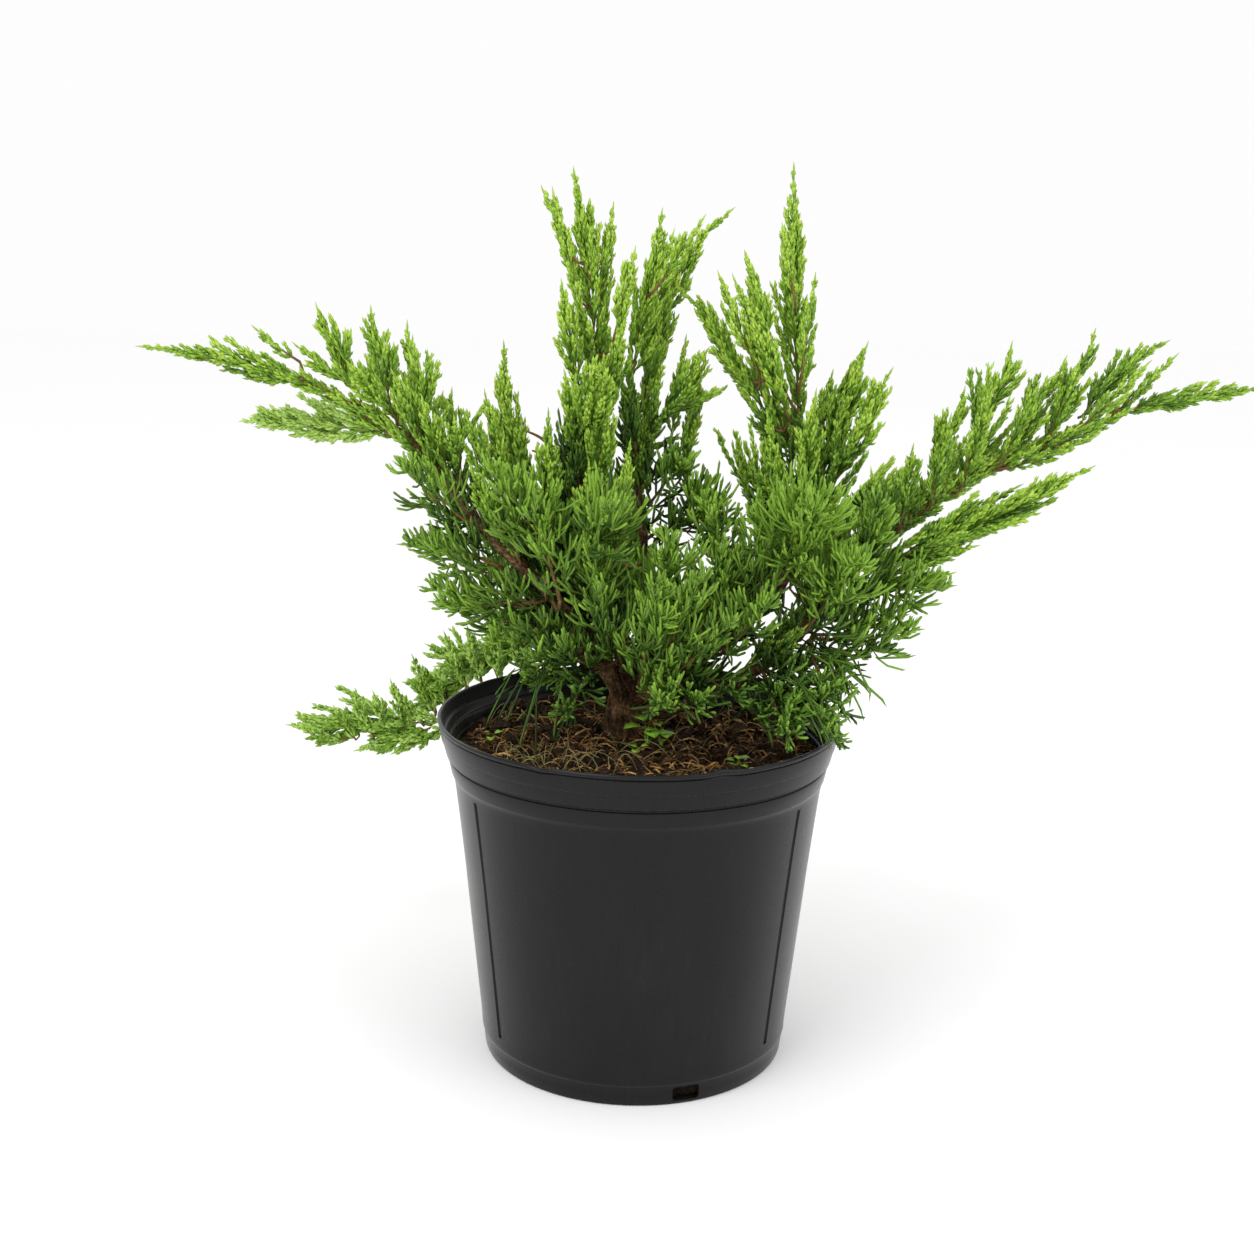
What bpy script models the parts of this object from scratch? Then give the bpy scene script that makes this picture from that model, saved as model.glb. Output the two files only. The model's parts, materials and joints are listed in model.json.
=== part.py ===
# Spreading juniper in a round nursery pot, as separate solids: pot, soil, trunk, boughs and foliage masses.
# Metres, +Z up. The origin is the middle of the pot's flat underside, and -Y is the plant's front.
import math

import bmesh
import bpy
import numpy as np

GAP = 0.0003  # air left between solids that touch on the real plant

# Pot, a number three nursery container
POT_HEIGHT = 0.2422
RIM_RADIUS = 0.1397
FLOOR_THICKNESS = 0.0025
FOOT_RADIUS = 0.1045
POT_COLUMNS = 36
NOTCH_WIDTH = 0.019
NOTCH_LOW = 0.0028
NOTCH_HIGH = 0.0125
NOTCH_ANGLES = (-70.0, 50.0, 170.0)
FLUTE_WIDTH = 0.0036
FLUTE_DEPTH = 0.0010
FLUTE_LOW = 0.026
FLUTE_HIGH = 0.196
FLUTE_ANGLES = (-158.5, -21.5, 21.5, 158.5)

# Soil
SOIL_LEVEL = 0.2165
SOIL_MOUND = 0.0030
SOIL_RINGS = (0.94, 0.72, 0.48, 0.24)

# Trunk
TRUNK_FOOT = (-0.0110, 0.0280, SOIL_LEVEL + GAP)
TRUNK_PATH = (TRUNK_FOOT, (-0.0125, 0.0275, 0.232), (-0.0105, 0.0270, 0.248), (-0.0075, 0.0270, 0.262))
TRUNK_RADIUS = 0.0098
FLARE_RADIUS = 0.0175
FLARE_HEIGHT = 0.010
ROOT_RIDGES = 4
CLEAR_OF_TRUNK = 0.032  # the soil is flat this far round the trunk's foot

# Boughs: the radius at each end, and the few points that the limb bends through
BOUGHS = {
    "bough_left": (0.0052, 0.0016, ((-0.012, 0.024, 0.246), (-0.033, 0.010, 0.291), (-0.063, -0.008, 0.329),
                                    (-0.107, -0.020, 0.374), (-0.133, -0.024, 0.410), (-0.157, -0.024, 0.436),
                                    (-0.197, -0.024, 0.459))),
    "bough_centre_left": (0.0040, 0.0017, ((-0.006, 0.021, 0.260), (-0.024, 0.000, 0.307), (-0.041, -0.005, 0.331),
                                           (-0.049, -0.006, 0.355), (-0.047, -0.003, 0.389), (-0.040, 0.002, 0.422),
                                           (-0.033, 0.012, 0.450))),
    "bough_centre": (0.0038, 0.0016, ((-0.005, 0.0295, 0.258), (0.006, 0.034, 0.301), (0.005, 0.036, 0.326),
                                      (-0.001, 0.034, 0.372), (-0.005, 0.030, 0.414), (-0.011, 0.026, 0.454))),
    "bough_right": (0.0056, 0.0040, ((-0.008, 0.026, 0.247), (0.012, 0.020, 0.256), (0.032, 0.012, 0.268),
                                     (0.049, 0.008, 0.288), (0.070, 0.006, 0.304), (0.094, 0.006, 0.331))),
    "bough_right_upper": (0.0038, 0.0018, ((0.106, 0.008, 0.354), (0.111, 0.012, 0.382),
                                           (0.111, 0.016, 0.405), (0.106, 0.020, 0.429))),
    "bough_far_right": (0.0052, 0.0014, ((-0.010, 0.025, 0.232), (0.012, 0.010, 0.242), (0.042, -0.002, 0.255),
                                         (0.076, -0.010, 0.276), (0.101, -0.012, 0.297), (0.136, 0.002, 0.342),
                                         (0.184, 0.015, 0.381), (0.223, 0.025, 0.406), (0.279, 0.036, 0.432),
                                         (0.327, 0.045, 0.452))),
    "bough_rear_left": (0.0042, 0.0018, ((-0.012, 0.030, 0.243), (-0.030, 0.058, 0.262), (-0.058, 0.094, 0.268),
                                         (-0.088, 0.122, 0.260), (-0.122, 0.144, 0.238), (-0.174, 0.157, 0.195))),
    "bough_rear": (0.0042, 0.0018, ((-0.009, 0.029, 0.250), (-0.012, 0.058, 0.284), (-0.020, 0.095, 0.318),
                                    (-0.030, 0.140, 0.345), (-0.035, 0.190, 0.366))),
    "bough_rear_right": (0.0044, 0.0018, ((-0.009, 0.029, 0.239), (0.022, 0.056, 0.262), (0.058, 0.084, 0.288),
                                          (0.094, 0.112, 0.314), (0.132, 0.142, 0.338))),
}
CONTINUES = {"bough_right_upper": "bough_right"}  # split at the bend, so the second starts on the first's end
BOUGH_SIDES = 8
BOUGH_STEP = 0.020

# Foliage masses: bough, place along it from 0 to 1, furthest tip, half width, sweep, colour.
# A mass with a positive sweep first follows its bough and then turns to its tip.
FOLIAGE = {
    "left_tip": ("bough_left", 1.00, (-0.318, -0.045, 0.492), 0.014, 1.10, "tip"),
    "left_lower": ("bough_left", 0.88, (-0.273, 0.030, 0.437), 0.015, 0.25, "pale"),
    "left_rise_outer": ("bough_left", 0.96, (-0.211, -0.030, 0.514), 0.017, 0.25, "tip"),
    "left_rise_middle": ("bough_left", 0.87, (-0.179, -0.020, 0.512), 0.018, 0.30, "tip"),
    "left_rise_inner": ("bough_left", 0.79, (-0.157, -0.010, 0.502), 0.018, 0.30, "tip"),
    "left_shoulder": ("bough_left", 0.68, (-0.130, 0.005, 0.458), 0.018, 0.25, "tip"),
    "left_under": ("bough_left", 0.61, (-0.157, -0.045, 0.418), 0.018, 0.20, "inner"),
    "left_fringe": ("bough_left", 0.48, (-0.155, -0.030, 0.364), 0.022, 0.10, "inner"),
    "left_low_fringe": ("bough_left", 0.34, (-0.149, -0.020, 0.322), 0.019, 0.10, "inner"),
    "hollow_left": ("bough_left", 0.17, (-0.098, -0.034, 0.262), 0.023, 0.00, "inner"),
    "centre_left_rise": ("bough_centre_left", 0.56, (-0.096, 0.020, 0.488), 0.020, -0.45, "tip"),
    "centre_left_front": ("bough_centre_left", 0.47, (-0.096, -0.075, 0.422), 0.024, 0.10, "inner"),
    "centre_tall": ("bough_centre_left", 1.00, (-0.048, -0.005, 0.602), 0.023, 0.20, "tip"),
    "centre_body": ("bough_centre_left", 0.84, (-0.030, -0.060, 0.485), 0.026, 0.10, "tip"),
    "centre_curl": ("bough_centre_left", 0.52, (-0.018, -0.095, 0.402), 0.025, 0.00, "inner"),
    "centre_right_tall": ("bough_centre", 1.00, (0.008, 0.004, 0.577), 0.018, -0.10, "tip"),
    "centre_plume": ("bough_centre", 0.96, (0.053, 0.055, 0.581), 0.018, 2.60, "tip"),
    "centre_side": ("bough_centre", 0.84, (0.038, 0.000, 0.490), 0.022, 0.10, "tip"),
    "centre_side_low": ("bough_centre", 0.64, (0.053, -0.030, 0.461), 0.022, 0.00, "inner"),
    "centre_droop": ("bough_centre", 0.52, (0.066, -0.020, 0.380), 0.022, 0.55, "inner"),
    "front_rise": ("bough_right", 0.30, (0.016, -0.075, 0.380), 0.025, 0.00, "inner"),
    "front_low": ("bough_right", 0.36, (0.012, -0.085, 0.272), 0.021, 0.20, "inner"),
    "front_right_rise": ("bough_right", 0.62, (0.052, -0.055, 0.368), 0.023, 0.00, "inner"),
    "right_tall": ("bough_right_upper", 1.00, (0.096, 0.035, 0.608), 0.018, 0.15, "tip"),
    "right_plume": ("bough_right_upper", 0.92, (0.024, 0.014, 0.530), 0.018, 0.90, "tip"),
    "right_plume_upper": ("bough_right_upper", 0.96, (0.068, 0.055, 0.550), 0.017, 0.00, "tip"),
    "right_inner": ("bough_right_upper", 0.60, (0.060, -0.028, 0.426), 0.026, 0.00, "inner"),
    "right_shoulder": ("bough_right_upper", 0.70, (0.146, 0.015, 0.493), 0.018, 0.15, "tip"),
    "right_side": ("bough_right_upper", 0.50, (0.157, -0.025, 0.480), 0.023, 0.10, "tip"),
    "right_front": ("bough_right_upper", 0.24, (0.103, -0.115, 0.408), 0.029, 0.10, "tip"),
    "far_right_inner": ("bough_far_right", 0.57, (0.166, 0.004, 0.424), 0.017, -0.10, "inner"),
    "far_right_rise_a": ("bough_far_right", 0.65, (0.214, 0.014, 0.464), 0.018, 0.30, "tip"),
    "far_right_rise_b": ("bough_far_right", 0.72, (0.248, 0.035, 0.493), 0.019, 0.35, "tip"),
    "far_right_rise_c": ("bough_far_right", 0.81, (0.285, 0.040, 0.484), 0.017, 0.35, "tip"),
    "far_right_rise_d": ("bough_far_right", 0.87, (0.307, 0.050, 0.502), 0.015, 0.35, "tip"),
    "far_right_rise_e": ("bough_far_right", 0.94, (0.357, 0.062, 0.498), 0.015, -0.40, "tip"),
    "far_right_tip": ("bough_far_right", 1.00, (0.425, 0.060, 0.469), 0.013, 0.45, "tip"),
    "far_right_lower": ("bough_far_right", 0.50, (0.288, -0.030, 0.422), 0.021, -0.10, "tip"),
    "far_right_under": ("bough_far_right", 0.44, (0.200, -0.040, 0.345), 0.026, -0.10, "inner"),
    "right_low": ("bough_far_right", 0.36, (0.180, -0.045, 0.316), 0.022, -0.10, "inner"),
    "right_mid_front": ("bough_far_right", 0.40, (0.135, -0.100, 0.373), 0.024, 0.00, "inner"),
    "hollow_right": ("bough_far_right", 0.27, (0.126, -0.040, 0.252), 0.026, 0.00, "inner"),
    "rear_left_tip": ("bough_rear_left", 1.00, (-0.274, 0.170, 0.178), 0.024, 0.35, "pale"),
    "rear_left_rise": ("bough_rear_left", 0.72, (-0.160, 0.145, 0.250), 0.020, 0.20, "pale"),
    "rear_high_left": ("bough_rear_left", 0.22, (-0.124, 0.118, 0.376), 0.034, 0.10, "inner"),
    "rear_tip": ("bough_rear", 1.00, (-0.045, 0.285, 0.415), 0.036, 0.10, "tip"),
    "rear_right_tip": ("bough_rear_right", 1.00, (0.215, 0.215, 0.385), 0.032, 0.10, "tip"),
    "rear_right_rise": ("bough_rear_right", 0.70, (0.100, 0.150, 0.440), 0.036, 0.10, "tip"),
}
FOLIAGE_SIDES = 8
FOLIAGE_STATIONS = (0.07, 0.19, 0.35, 0.53, 0.71, 0.88)
FOLIAGE_FULLEST = 0.36  # where along its length a mass is widest
FOLIAGE_LUMPS = 0.16
FOLIAGE_SPACE = 0.0016  # air between neighbouring masses
LIMB_SPACE = 0.0006  # air between a mass and the limbs that it passes

COLOURS = {
    "pot": ((0.045, 0.045, 0.047), 0.42),
    "soil": ((0.135, 0.070, 0.036), 0.95),
    "bark": ((0.175, 0.085, 0.050), 0.85),
    "foliage_tip": ((0.160, 0.330, 0.045), 0.55),
    "foliage_inner": ((0.065, 0.165, 0.035), 0.55),
    "foliage_pale": ((0.230, 0.390, 0.130), 0.60),
}


def clear_scene():
    for found in list(bpy.data.objects):
        bpy.data.objects.remove(found, do_unlink=True)


def make_materials():
    made = {}
    for name, (colour, roughness) in COLOURS.items():
        material = bpy.data.materials.new(name)
        material.use_nodes = True
        shader = material.node_tree.nodes["Principled BSDF"]
        shader.inputs["Base Color"].default_value = (*colour, 1.0)
        shader.inputs["Roughness"].default_value = roughness
        shader.inputs["Metallic"].default_value = 0.0
        made[name] = material
    return made


def add_solid(name, points, faces, material=None, sharp_angle=40.0):
    mesh = bpy.data.meshes.new(name)
    mesh.from_pydata([tuple(p) for p in points], [], faces)
    shape = bmesh.new()
    shape.from_mesh(mesh)
    bmesh.ops.recalc_face_normals(shape, faces=shape.faces)
    shape.to_mesh(mesh)
    shape.free()
    mesh.shade_smooth()
    mesh.set_sharp_from_angle(angle=math.radians(sharp_angle))
    solid = bpy.data.objects.new(name, mesh)
    bpy.context.scene.collection.objects.link(solid)
    if material:
        mesh.materials.append(material)
    return solid


def skin(rings, first_tip=None, last_tip=None):
    """Points and faces of a closed skin over rings of equal count, with a cap or a tip at each end."""
    count = len(rings[0])
    points = [p for ring in rings for p in ring]
    faces = []
    for level in range(len(rings) - 1):
        low = level * count
        for side in range(count):
            after = (side + 1) % count
            faces.append((low + side, low + after, low + count + after, low + count + side))
    last = (len(rings) - 1) * count
    for tip, start in ((first_tip, 0), (last_tip, last)):
        if tip is None:
            faces.append(tuple(start + side for side in range(count)))
            continue
        points.append(tip)
        pole = len(points) - 1
        faces += [(start + side, start + (side + 1) % count, pole) for side in range(count)]
    return points, faces


def turned(profile, columns, bumps=None):
    """A solid turned about Z from (radius, height) pairs. A radius of 0 at either end is a pole."""
    angles = [math.tau * (column + 0.5) / columns for column in range(columns)]
    rings = []
    for radius, height in profile:
        if radius > 0:
            ring = [(radius * math.cos(a), radius * math.sin(a), height) for a in angles]
            if bumps:
                ring = [(x, y, bumps(x, y, z)) for x, y, z in ring]
            rings.append(ring)
    tips = [(0.0, 0.0, height) if radius == 0 else None for radius, height in (profile[0], profile[-1])]
    return skin(rings, tips[0], tips[1])


def smooth_path(points, step):
    """Points about a step apart on a Catmull-Rom curve through the given points."""
    knots = np.array(points, float)
    padded = np.vstack([2 * knots[0] - knots[1], knots, 2 * knots[-1] - knots[-2]])
    path = [knots[0]]
    for k in range(len(knots) - 1):
        p0, p1, p2, p3 = padded[k:k + 4]
        pieces = max(1, round(float(np.linalg.norm(p2 - p1)) / step))
        for piece in range(1, pieces + 1):
            t = piece / pieces
            path.append(0.5 * (2 * p1 + (p2 - p0) * t + (2 * p0 - 5 * p1 + 4 * p2 - p3) * t * t
                               + (3 * p1 - p0 - 3 * p2 + p3) * t ** 3))
    return np.array(path)


def share_along(path):
    lengths = np.linalg.norm(np.diff(path, axis=0), axis=1)
    return np.concatenate([[0.0], np.cumsum(lengths)]) / lengths.sum()


def at_share(path, share):
    shares = share_along(path)
    return np.array([np.interp(share, shares, path[:, axis]) for axis in range(3)])


def unit(vector):
    return vector / np.linalg.norm(vector)


def frames(path):
    """Tangent, side and up at each point, carried along without twisting."""
    tangents = np.gradient(path, axis=0)
    tangents /= np.linalg.norm(tangents, axis=1)[:, None]
    side = unit(np.cross(tangents[0], (0.31, 0.17, 0.93)))
    found = []
    for tangent in tangents:
        side = unit(side - tangent * float(side @ tangent))
        found.append((tangent, side, np.cross(tangent, side)))
    return found


def limb(name, path, radii, sides, material):
    rings = []
    for point, (_, side, up), radius in zip(path, frames(path), radii):
        angles = [math.tau * k / sides for k in range(sides)]
        rings.append([point + radius * (math.cos(a) * side + math.sin(a) * up) for a in angles])
    points, faces = skin(rings)
    return add_solid(name, points, faces, material)


def cut_away(solid, cutter):
    cutter.hide_render = True
    cutter.display_type = "WIRE"
    cut = solid.modifiers.new("cut_" + cutter.name, "BOOLEAN")
    cut.operation = "DIFFERENCE"
    cut.solver = "EXACT"
    cut.object = cutter


# Pot
OUTER_PROFILE = (
    (FOOT_RADIUS, 0.0),
    (0.1062, 0.0020),
    (0.1078, 0.0153),
    (0.1083, 0.0160),
    (0.1276, 0.1970),
    (0.1288, 0.2030),
    (0.1296, 0.2042),
    (0.1324, 0.2142),
    (0.1311, 0.2152),
    (0.1311, 0.2164),
    (0.1340, 0.2174),
    (0.1365, 0.2272),
    (0.1371, 0.2280),
    (0.1385, 0.2372),
    (0.1376, 0.2382),
    (0.1376, 0.2390),
    (0.1394, 0.2395),
    (RIM_RADIUS, 0.2405),
    (0.1395, POT_HEIGHT - 0.0004),
    (0.1388, POT_HEIGHT),
)
INNER_PROFILE = (
    (0.1372, POT_HEIGHT),
    (0.1362, 0.2412),
    (0.1358, 0.2380),
    (0.1344, 0.2284),
    (0.1338, 0.2272),
    (0.1312, 0.2180),
    (0.1292, 0.2160),
    (0.1288, 0.2140),
    (0.1268, 0.2048),
    (0.1254, 0.1980),
    (0.1250, 0.1960),
    (0.1038, FLOOR_THICKNESS),
)


def inner_radius(height):
    heights = [z for _, z in reversed(INNER_PROFILE)]
    radii = [r for r, _ in reversed(INNER_PROFILE)]
    return float(np.interp(height, heights, radii))


def outer_radius(height):
    heights = [z for _, z in OUTER_PROFILE]
    radii = [r for r, _ in OUTER_PROFILE]
    return float(np.interp(height, heights, radii))


def box_points(width, depth, low, high):
    half = width / 2
    return [(x, y, z) for z in (low, high) for x, y in ((0, -half), (depth, -half), (depth, half), (0, half))]


BOX_FACES = [(0, 1, 2, 3), (4, 5, 6, 7), (0, 1, 5, 4), (1, 2, 6, 5), (2, 3, 7, 6), (3, 0, 4, 7)]


def turned_copies(points, faces, angles, away):
    """The same small shape, moved out along X and turned to each angle about Z."""
    all_points, all_faces = [], []
    for angle in angles:
        turn = math.radians(angle)
        start = len(all_points)
        for x, y, z in points:
            out = x + away(z)
            all_points.append((out * math.cos(turn) - y * math.sin(turn),
                               out * math.sin(turn) + y * math.cos(turn), z))
        all_faces += [tuple(start + corner for corner in face) for face in faces]
    return all_points, all_faces


def make_pot(material):
    profile = ((0.0, 0.0),) + OUTER_PROFILE + INNER_PROFILE + ((0.0, FLOOR_THICKNESS),)
    pot = add_solid("pot", *turned(profile, POT_COLUMNS), material, sharp_angle=30.0)
    notch = box_points(NOTCH_WIDTH, 0.012, NOTCH_LOW, NOTCH_HIGH)
    notches = add_solid("notch_cutter", *turned_copies(notch, BOX_FACES, NOTCH_ANGLES, lambda z: 0.099))
    cut_away(pot, notches)
    half = FLUTE_WIDTH
    wedge = [(x, y, z) for z in (FLUTE_LOW, FLUTE_HIGH)
             for x, y in ((-FLUTE_DEPTH, 0.0), (FLUTE_DEPTH, -half), (FLUTE_DEPTH, half))]
    wedge_faces = [(0, 1, 2), (3, 4, 5), (0, 1, 4, 3), (1, 2, 5, 4), (2, 0, 3, 5)]
    flutes = add_solid("flute_cutter", *turned_copies(wedge, wedge_faces, FLUTE_ANGLES, outer_radius))
    cut_away(pot, flutes)
    return pot


# Soil
def soil_height(x, y, z):
    """The soil's lumpy top, flat where the trunk stands. The bottom ring stays as it is."""
    if z < SOIL_LEVEL - 2 * SOIL_MOUND:
        return z
    away = math.hypot(x - TRUNK_FOOT[0], y - TRUNK_FOOT[1])
    lumpy = min(1.0, max(0.0, (away - CLEAR_OF_TRUNK) / 0.02))
    wave = math.sin(61 * x + 1.3) * math.cos(47 * y - 0.6) + 0.6 * math.sin(113 * x - 83 * y)
    return z + SOIL_MOUND * lumpy * wave / 1.6


def make_soil(material):
    low = FLOOR_THICKNESS + GAP
    edge_height = SOIL_LEVEL - 0.0025
    profile = [(0.0, low), (inner_radius(low) - 2 * GAP, low), (0.1250 - GAP, 0.1960), (0.1254 - GAP, 0.1980)]
    profile += [(0.1268 - GAP, 0.2048), (inner_radius(edge_height - SOIL_MOUND) - 3 * GAP, edge_height)]
    profile += [(share * 0.1280, SOIL_LEVEL) for share in SOIL_RINGS]
    profile += [(0.0, SOIL_LEVEL)]
    return add_solid("soil", *turned(profile, POT_COLUMNS, soil_height), material)


# Trunk and boughs
def trunk_rings(extra):
    path = smooth_path(TRUNK_PATH, 0.006)
    path[0] = TRUNK_FOOT
    rings = []
    for point in path:
        rise = (point[2] - TRUNK_FOOT[2]) / FLARE_HEIGHT
        flare = (FLARE_RADIUS - TRUNK_RADIUS) * math.exp(-rise)
        ring = []
        for k in range(12):
            angle = math.tau * k / 12
            ridge = 1 + 0.22 * math.exp(-0.8 * rise) * math.cos(ROOT_RIDGES * angle + 0.7)
            radius = TRUNK_RADIUS * (1 - 0.018 * rise) + flare * ridge + extra
            ring.append((point[0] + radius * math.cos(angle), point[1] + radius * math.sin(angle), point[2]))
        rings.append(ring)
    if extra:
        rings[-1] = [(x, y, z + extra) for x, y, z in rings[-1]]
    return rings


def make_trunk(material):
    return add_solid("trunk", *skin(trunk_rings(0.0)), material)


def bough_curve(name):
    first, last, points = BOUGHS[name]
    if name in CONTINUES:
        before = smooth_path(BOUGHS[CONTINUES[name]][2], BOUGH_STEP)
        ahead = unit(before[-1] - before[-2])
        points = (before[-1] + ahead * GAP, before[-1] + ahead * 0.008, *points)
    path = smooth_path(points, BOUGH_STEP)
    radii = first + (last - first) * share_along(path)
    return path, radii


def make_boughs(material):
    cutter = add_solid("trunk_cutter", *skin(trunk_rings(GAP)))
    for name in BOUGHS:
        path, radii = bough_curve(name)
        bough = limb(name, path, radii, BOUGH_SIDES, material)
        if name not in CONTINUES:
            cut_away(bough, cutter)


# Foliage masses
def swelling(share):
    """The half width along a mass, from 0 at the base to 0 at the tip, 1 at its fullest."""
    if share < FOLIAGE_FULLEST:
        return math.sin(0.5 * math.pi * share / FOLIAGE_FULLEST) ** 0.9
    return math.cos(0.5 * math.pi * (share - FOLIAGE_FULLEST) / (1 - FOLIAGE_FULLEST)) ** 0.9


def foliage_axis(name):
    """The curve that a mass is built round, from its bough's surface to its tip."""
    bough, place, tip, _, sweep, _ = FOLIAGE[name]
    path, radii = bough_curve(bough)
    point = at_share(path, place)
    ahead = unit(at_share(path, min(1.0, place + 0.04)) - at_share(path, min(1.0, place + 0.04) - 0.05))
    tip = np.array(tip)
    if place == 1.0:
        start = point + ahead * GAP
    else:
        outward = tip - point
        outward = unit(outward - ahead * float(outward @ ahead))
        start = point + outward * (float(np.interp(place, share_along(path), radii)) + GAP)
    chord = tip - start
    reach = np.linalg.norm(chord)
    off_limb = ahead if place == 1.0 else outward
    first = start + unit(off_limb + 0.4 * unit(chord)) * 0.20 * reach
    second = start + unit(unit(chord) + sweep * ahead) * 0.58 * reach
    return np.array([(1 - t) ** 3 * start + 3 * t * (1 - t) ** 2 * first + 3 * t * t * (1 - t) * second + t ** 3 * tip
                     for t in np.linspace(0, 1, 25)])


def limb_samples():
    """Points and radii along every limb, close enough together to stand for it."""
    points, radii = [], []
    for name in BOUGHS:
        path, thick = bough_curve(name)
        shares = share_along(path)
        for share in np.linspace(0, 1, 240):
            points.append(at_share(path, share))
            radii.append(float(np.interp(share, shares, thick)))
    trunk = smooth_path(TRUNK_PATH, 0.003)
    for point in trunk:
        points.append(point)
        radii.append(TRUNK_RADIUS + (FLARE_RADIUS - TRUNK_RADIUS) * math.exp((TRUNK_FOOT[2] - point[2]) / FLARE_HEIGHT))
    return np.array(points), np.array(radii)


def clear_of_pot(point):
    x, y, z = point
    across = math.hypot(x, y)
    if z > POT_HEIGHT + 0.002:
        return True
    if across < outer_radius(min(z, POT_HEIGHT)) + 0.001:
        return z > SOIL_LEVEL + SOIL_MOUND + 0.001 and across < inner_radius(z) - 0.0015
    return across > RIM_RADIUS + 0.001


def make_foliage(materials):
    shares = np.linspace(0, 1, 25)
    axes = {name: foliage_axis(name) for name in FOLIAGE}
    widths = {name: FOLIAGE[name][3] * np.array([swelling(s) for s in shares]) for name in FOLIAGE}
    limb_points, limb_radii = limb_samples()
    for index, name in enumerate(FOLIAGE):
        rng = np.random.default_rng(400 + index)
        axis = axes[name]
        own = widths[name]
        others = np.vstack([axes[other] for other in FOLIAGE if other != name])
        other_widths = np.concatenate([widths[other] for other in FOLIAGE if other != name])

        def off_limbs(point):
            away = point - limb_points
            clear = np.linalg.norm(away, axis=1) - limb_radii
            near = clear.argmin()
            short = 3 * LIMB_SPACE - clear[near]
            return point + unit(away[near]) * short if short > 0 else point

        def is_free(point):
            to_limbs = np.linalg.norm(limb_points - point, axis=1) - limb_radii
            if to_limbs.min() < LIMB_SPACE or not clear_of_pot(point):
                return False
            mine = (np.linalg.norm(axis - point, axis=1) - own).min()
            theirs = (np.linalg.norm(others - point, axis=1) - other_widths).min()
            return mine < theirs - FOLIAGE_SPACE

        carried = frames(axis)
        phase = rng.uniform(0, math.tau, 3)
        flat = rng.uniform(0.80, 1.0)
        rings = []
        for share in FOLIAGE_STATIONS:
            centre = off_limbs(np.array([np.interp(share, shares, axis[:, k]) for k in range(3)]))
            _, side, up = carried[int(round(share * 24))]
            ring = []
            for k in range(FOLIAGE_SIDES):
                angle = math.tau * k / FOLIAGE_SIDES + phase[0]
                lump = math.sin(2 * angle + phase[1] + 5 * share) + math.sin(3 * angle + phase[2] - 9 * share)
                radius = FOLIAGE[name][3] * swelling(share)
                radius *= 1 + FOLIAGE_LUMPS * (0.5 * lump + rng.uniform(-0.5, 0.5))
                out = math.cos(angle) * side + flat * math.sin(angle) * up
                joined_to = [rings[-1][k], rings[-1][k - 1]] if rings else []
                joined_to += ring[-1:] + (ring[:1] if k == FOLIAGE_SIDES - 1 else [])
                keep = 1.0
                while keep > 0.03:
                    point = centre + out * radius * keep
                    if is_free(point) and all(is_free(0.5 * (point + other)) for other in joined_to):
                        break
                    keep *= 0.9
                ring.append(point)
            rings.append(ring)
        points, faces = skin(rings, axis[0], axis[-1])
        add_solid("foliage_" + name, points, faces, materials["foliage_" + FOLIAGE[name][5]], sharp_angle=180.0)


def main():
    clear_scene()
    materials = make_materials()
    make_pot(materials["pot"])
    make_soil(materials["soil"])
    make_trunk(materials["bark"])
    make_boughs(materials["bark"])
    make_foliage(materials)


main()
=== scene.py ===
import json
import math
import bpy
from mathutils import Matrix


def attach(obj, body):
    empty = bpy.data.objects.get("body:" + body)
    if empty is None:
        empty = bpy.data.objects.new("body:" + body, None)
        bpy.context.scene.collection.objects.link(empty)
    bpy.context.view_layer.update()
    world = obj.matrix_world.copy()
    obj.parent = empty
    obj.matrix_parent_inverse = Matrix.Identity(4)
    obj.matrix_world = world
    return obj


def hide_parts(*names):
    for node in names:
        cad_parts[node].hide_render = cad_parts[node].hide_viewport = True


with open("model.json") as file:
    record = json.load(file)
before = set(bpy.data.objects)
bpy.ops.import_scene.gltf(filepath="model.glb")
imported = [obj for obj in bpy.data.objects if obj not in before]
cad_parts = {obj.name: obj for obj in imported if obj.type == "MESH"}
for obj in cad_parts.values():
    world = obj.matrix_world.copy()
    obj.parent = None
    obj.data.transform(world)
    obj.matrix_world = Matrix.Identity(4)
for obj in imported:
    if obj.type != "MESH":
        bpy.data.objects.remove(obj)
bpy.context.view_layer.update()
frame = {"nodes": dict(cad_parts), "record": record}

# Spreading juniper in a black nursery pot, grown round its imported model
from types import SimpleNamespace

import bpy
import numpy as np
from mathutils import Matrix, Vector, noise

body = "root"
tau = 2 * math.pi


# Small helpers
def deselectAll():
    if bpy.context.object and bpy.context.object.mode != "OBJECT":
        bpy.ops.object.mode_set(mode="OBJECT")
    bpy.ops.object.select_all(action="DESELECT")


def unit(v):
    v = np.asarray(v, float)
    return v / np.maximum(np.linalg.norm(v, axis=-1, keepdims=True), 1e-12)


def meshObject(name, points, faces, material, smooth=True):
    mesh = bpy.data.meshes.new(name)
    faces = faces if isinstance(faces, list) else faces.tolist()
    mesh.from_pydata(np.asarray(points, float).tolist(), [], faces)
    if smooth:
        mesh.shade_smooth()
    obj = bpy.data.objects.new(name, mesh)
    bpy.context.scene.collection.objects.link(obj)
    mesh.materials.append(material)
    return obj


def finishPiece(obj, slotName, *nodes):
    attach(obj, body)
    if nodes:
        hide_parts(*nodes)
    return obj


def setMaterial(obj, material):
    obj.data.materials.clear()
    obj.data.materials.append(material)


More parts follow.
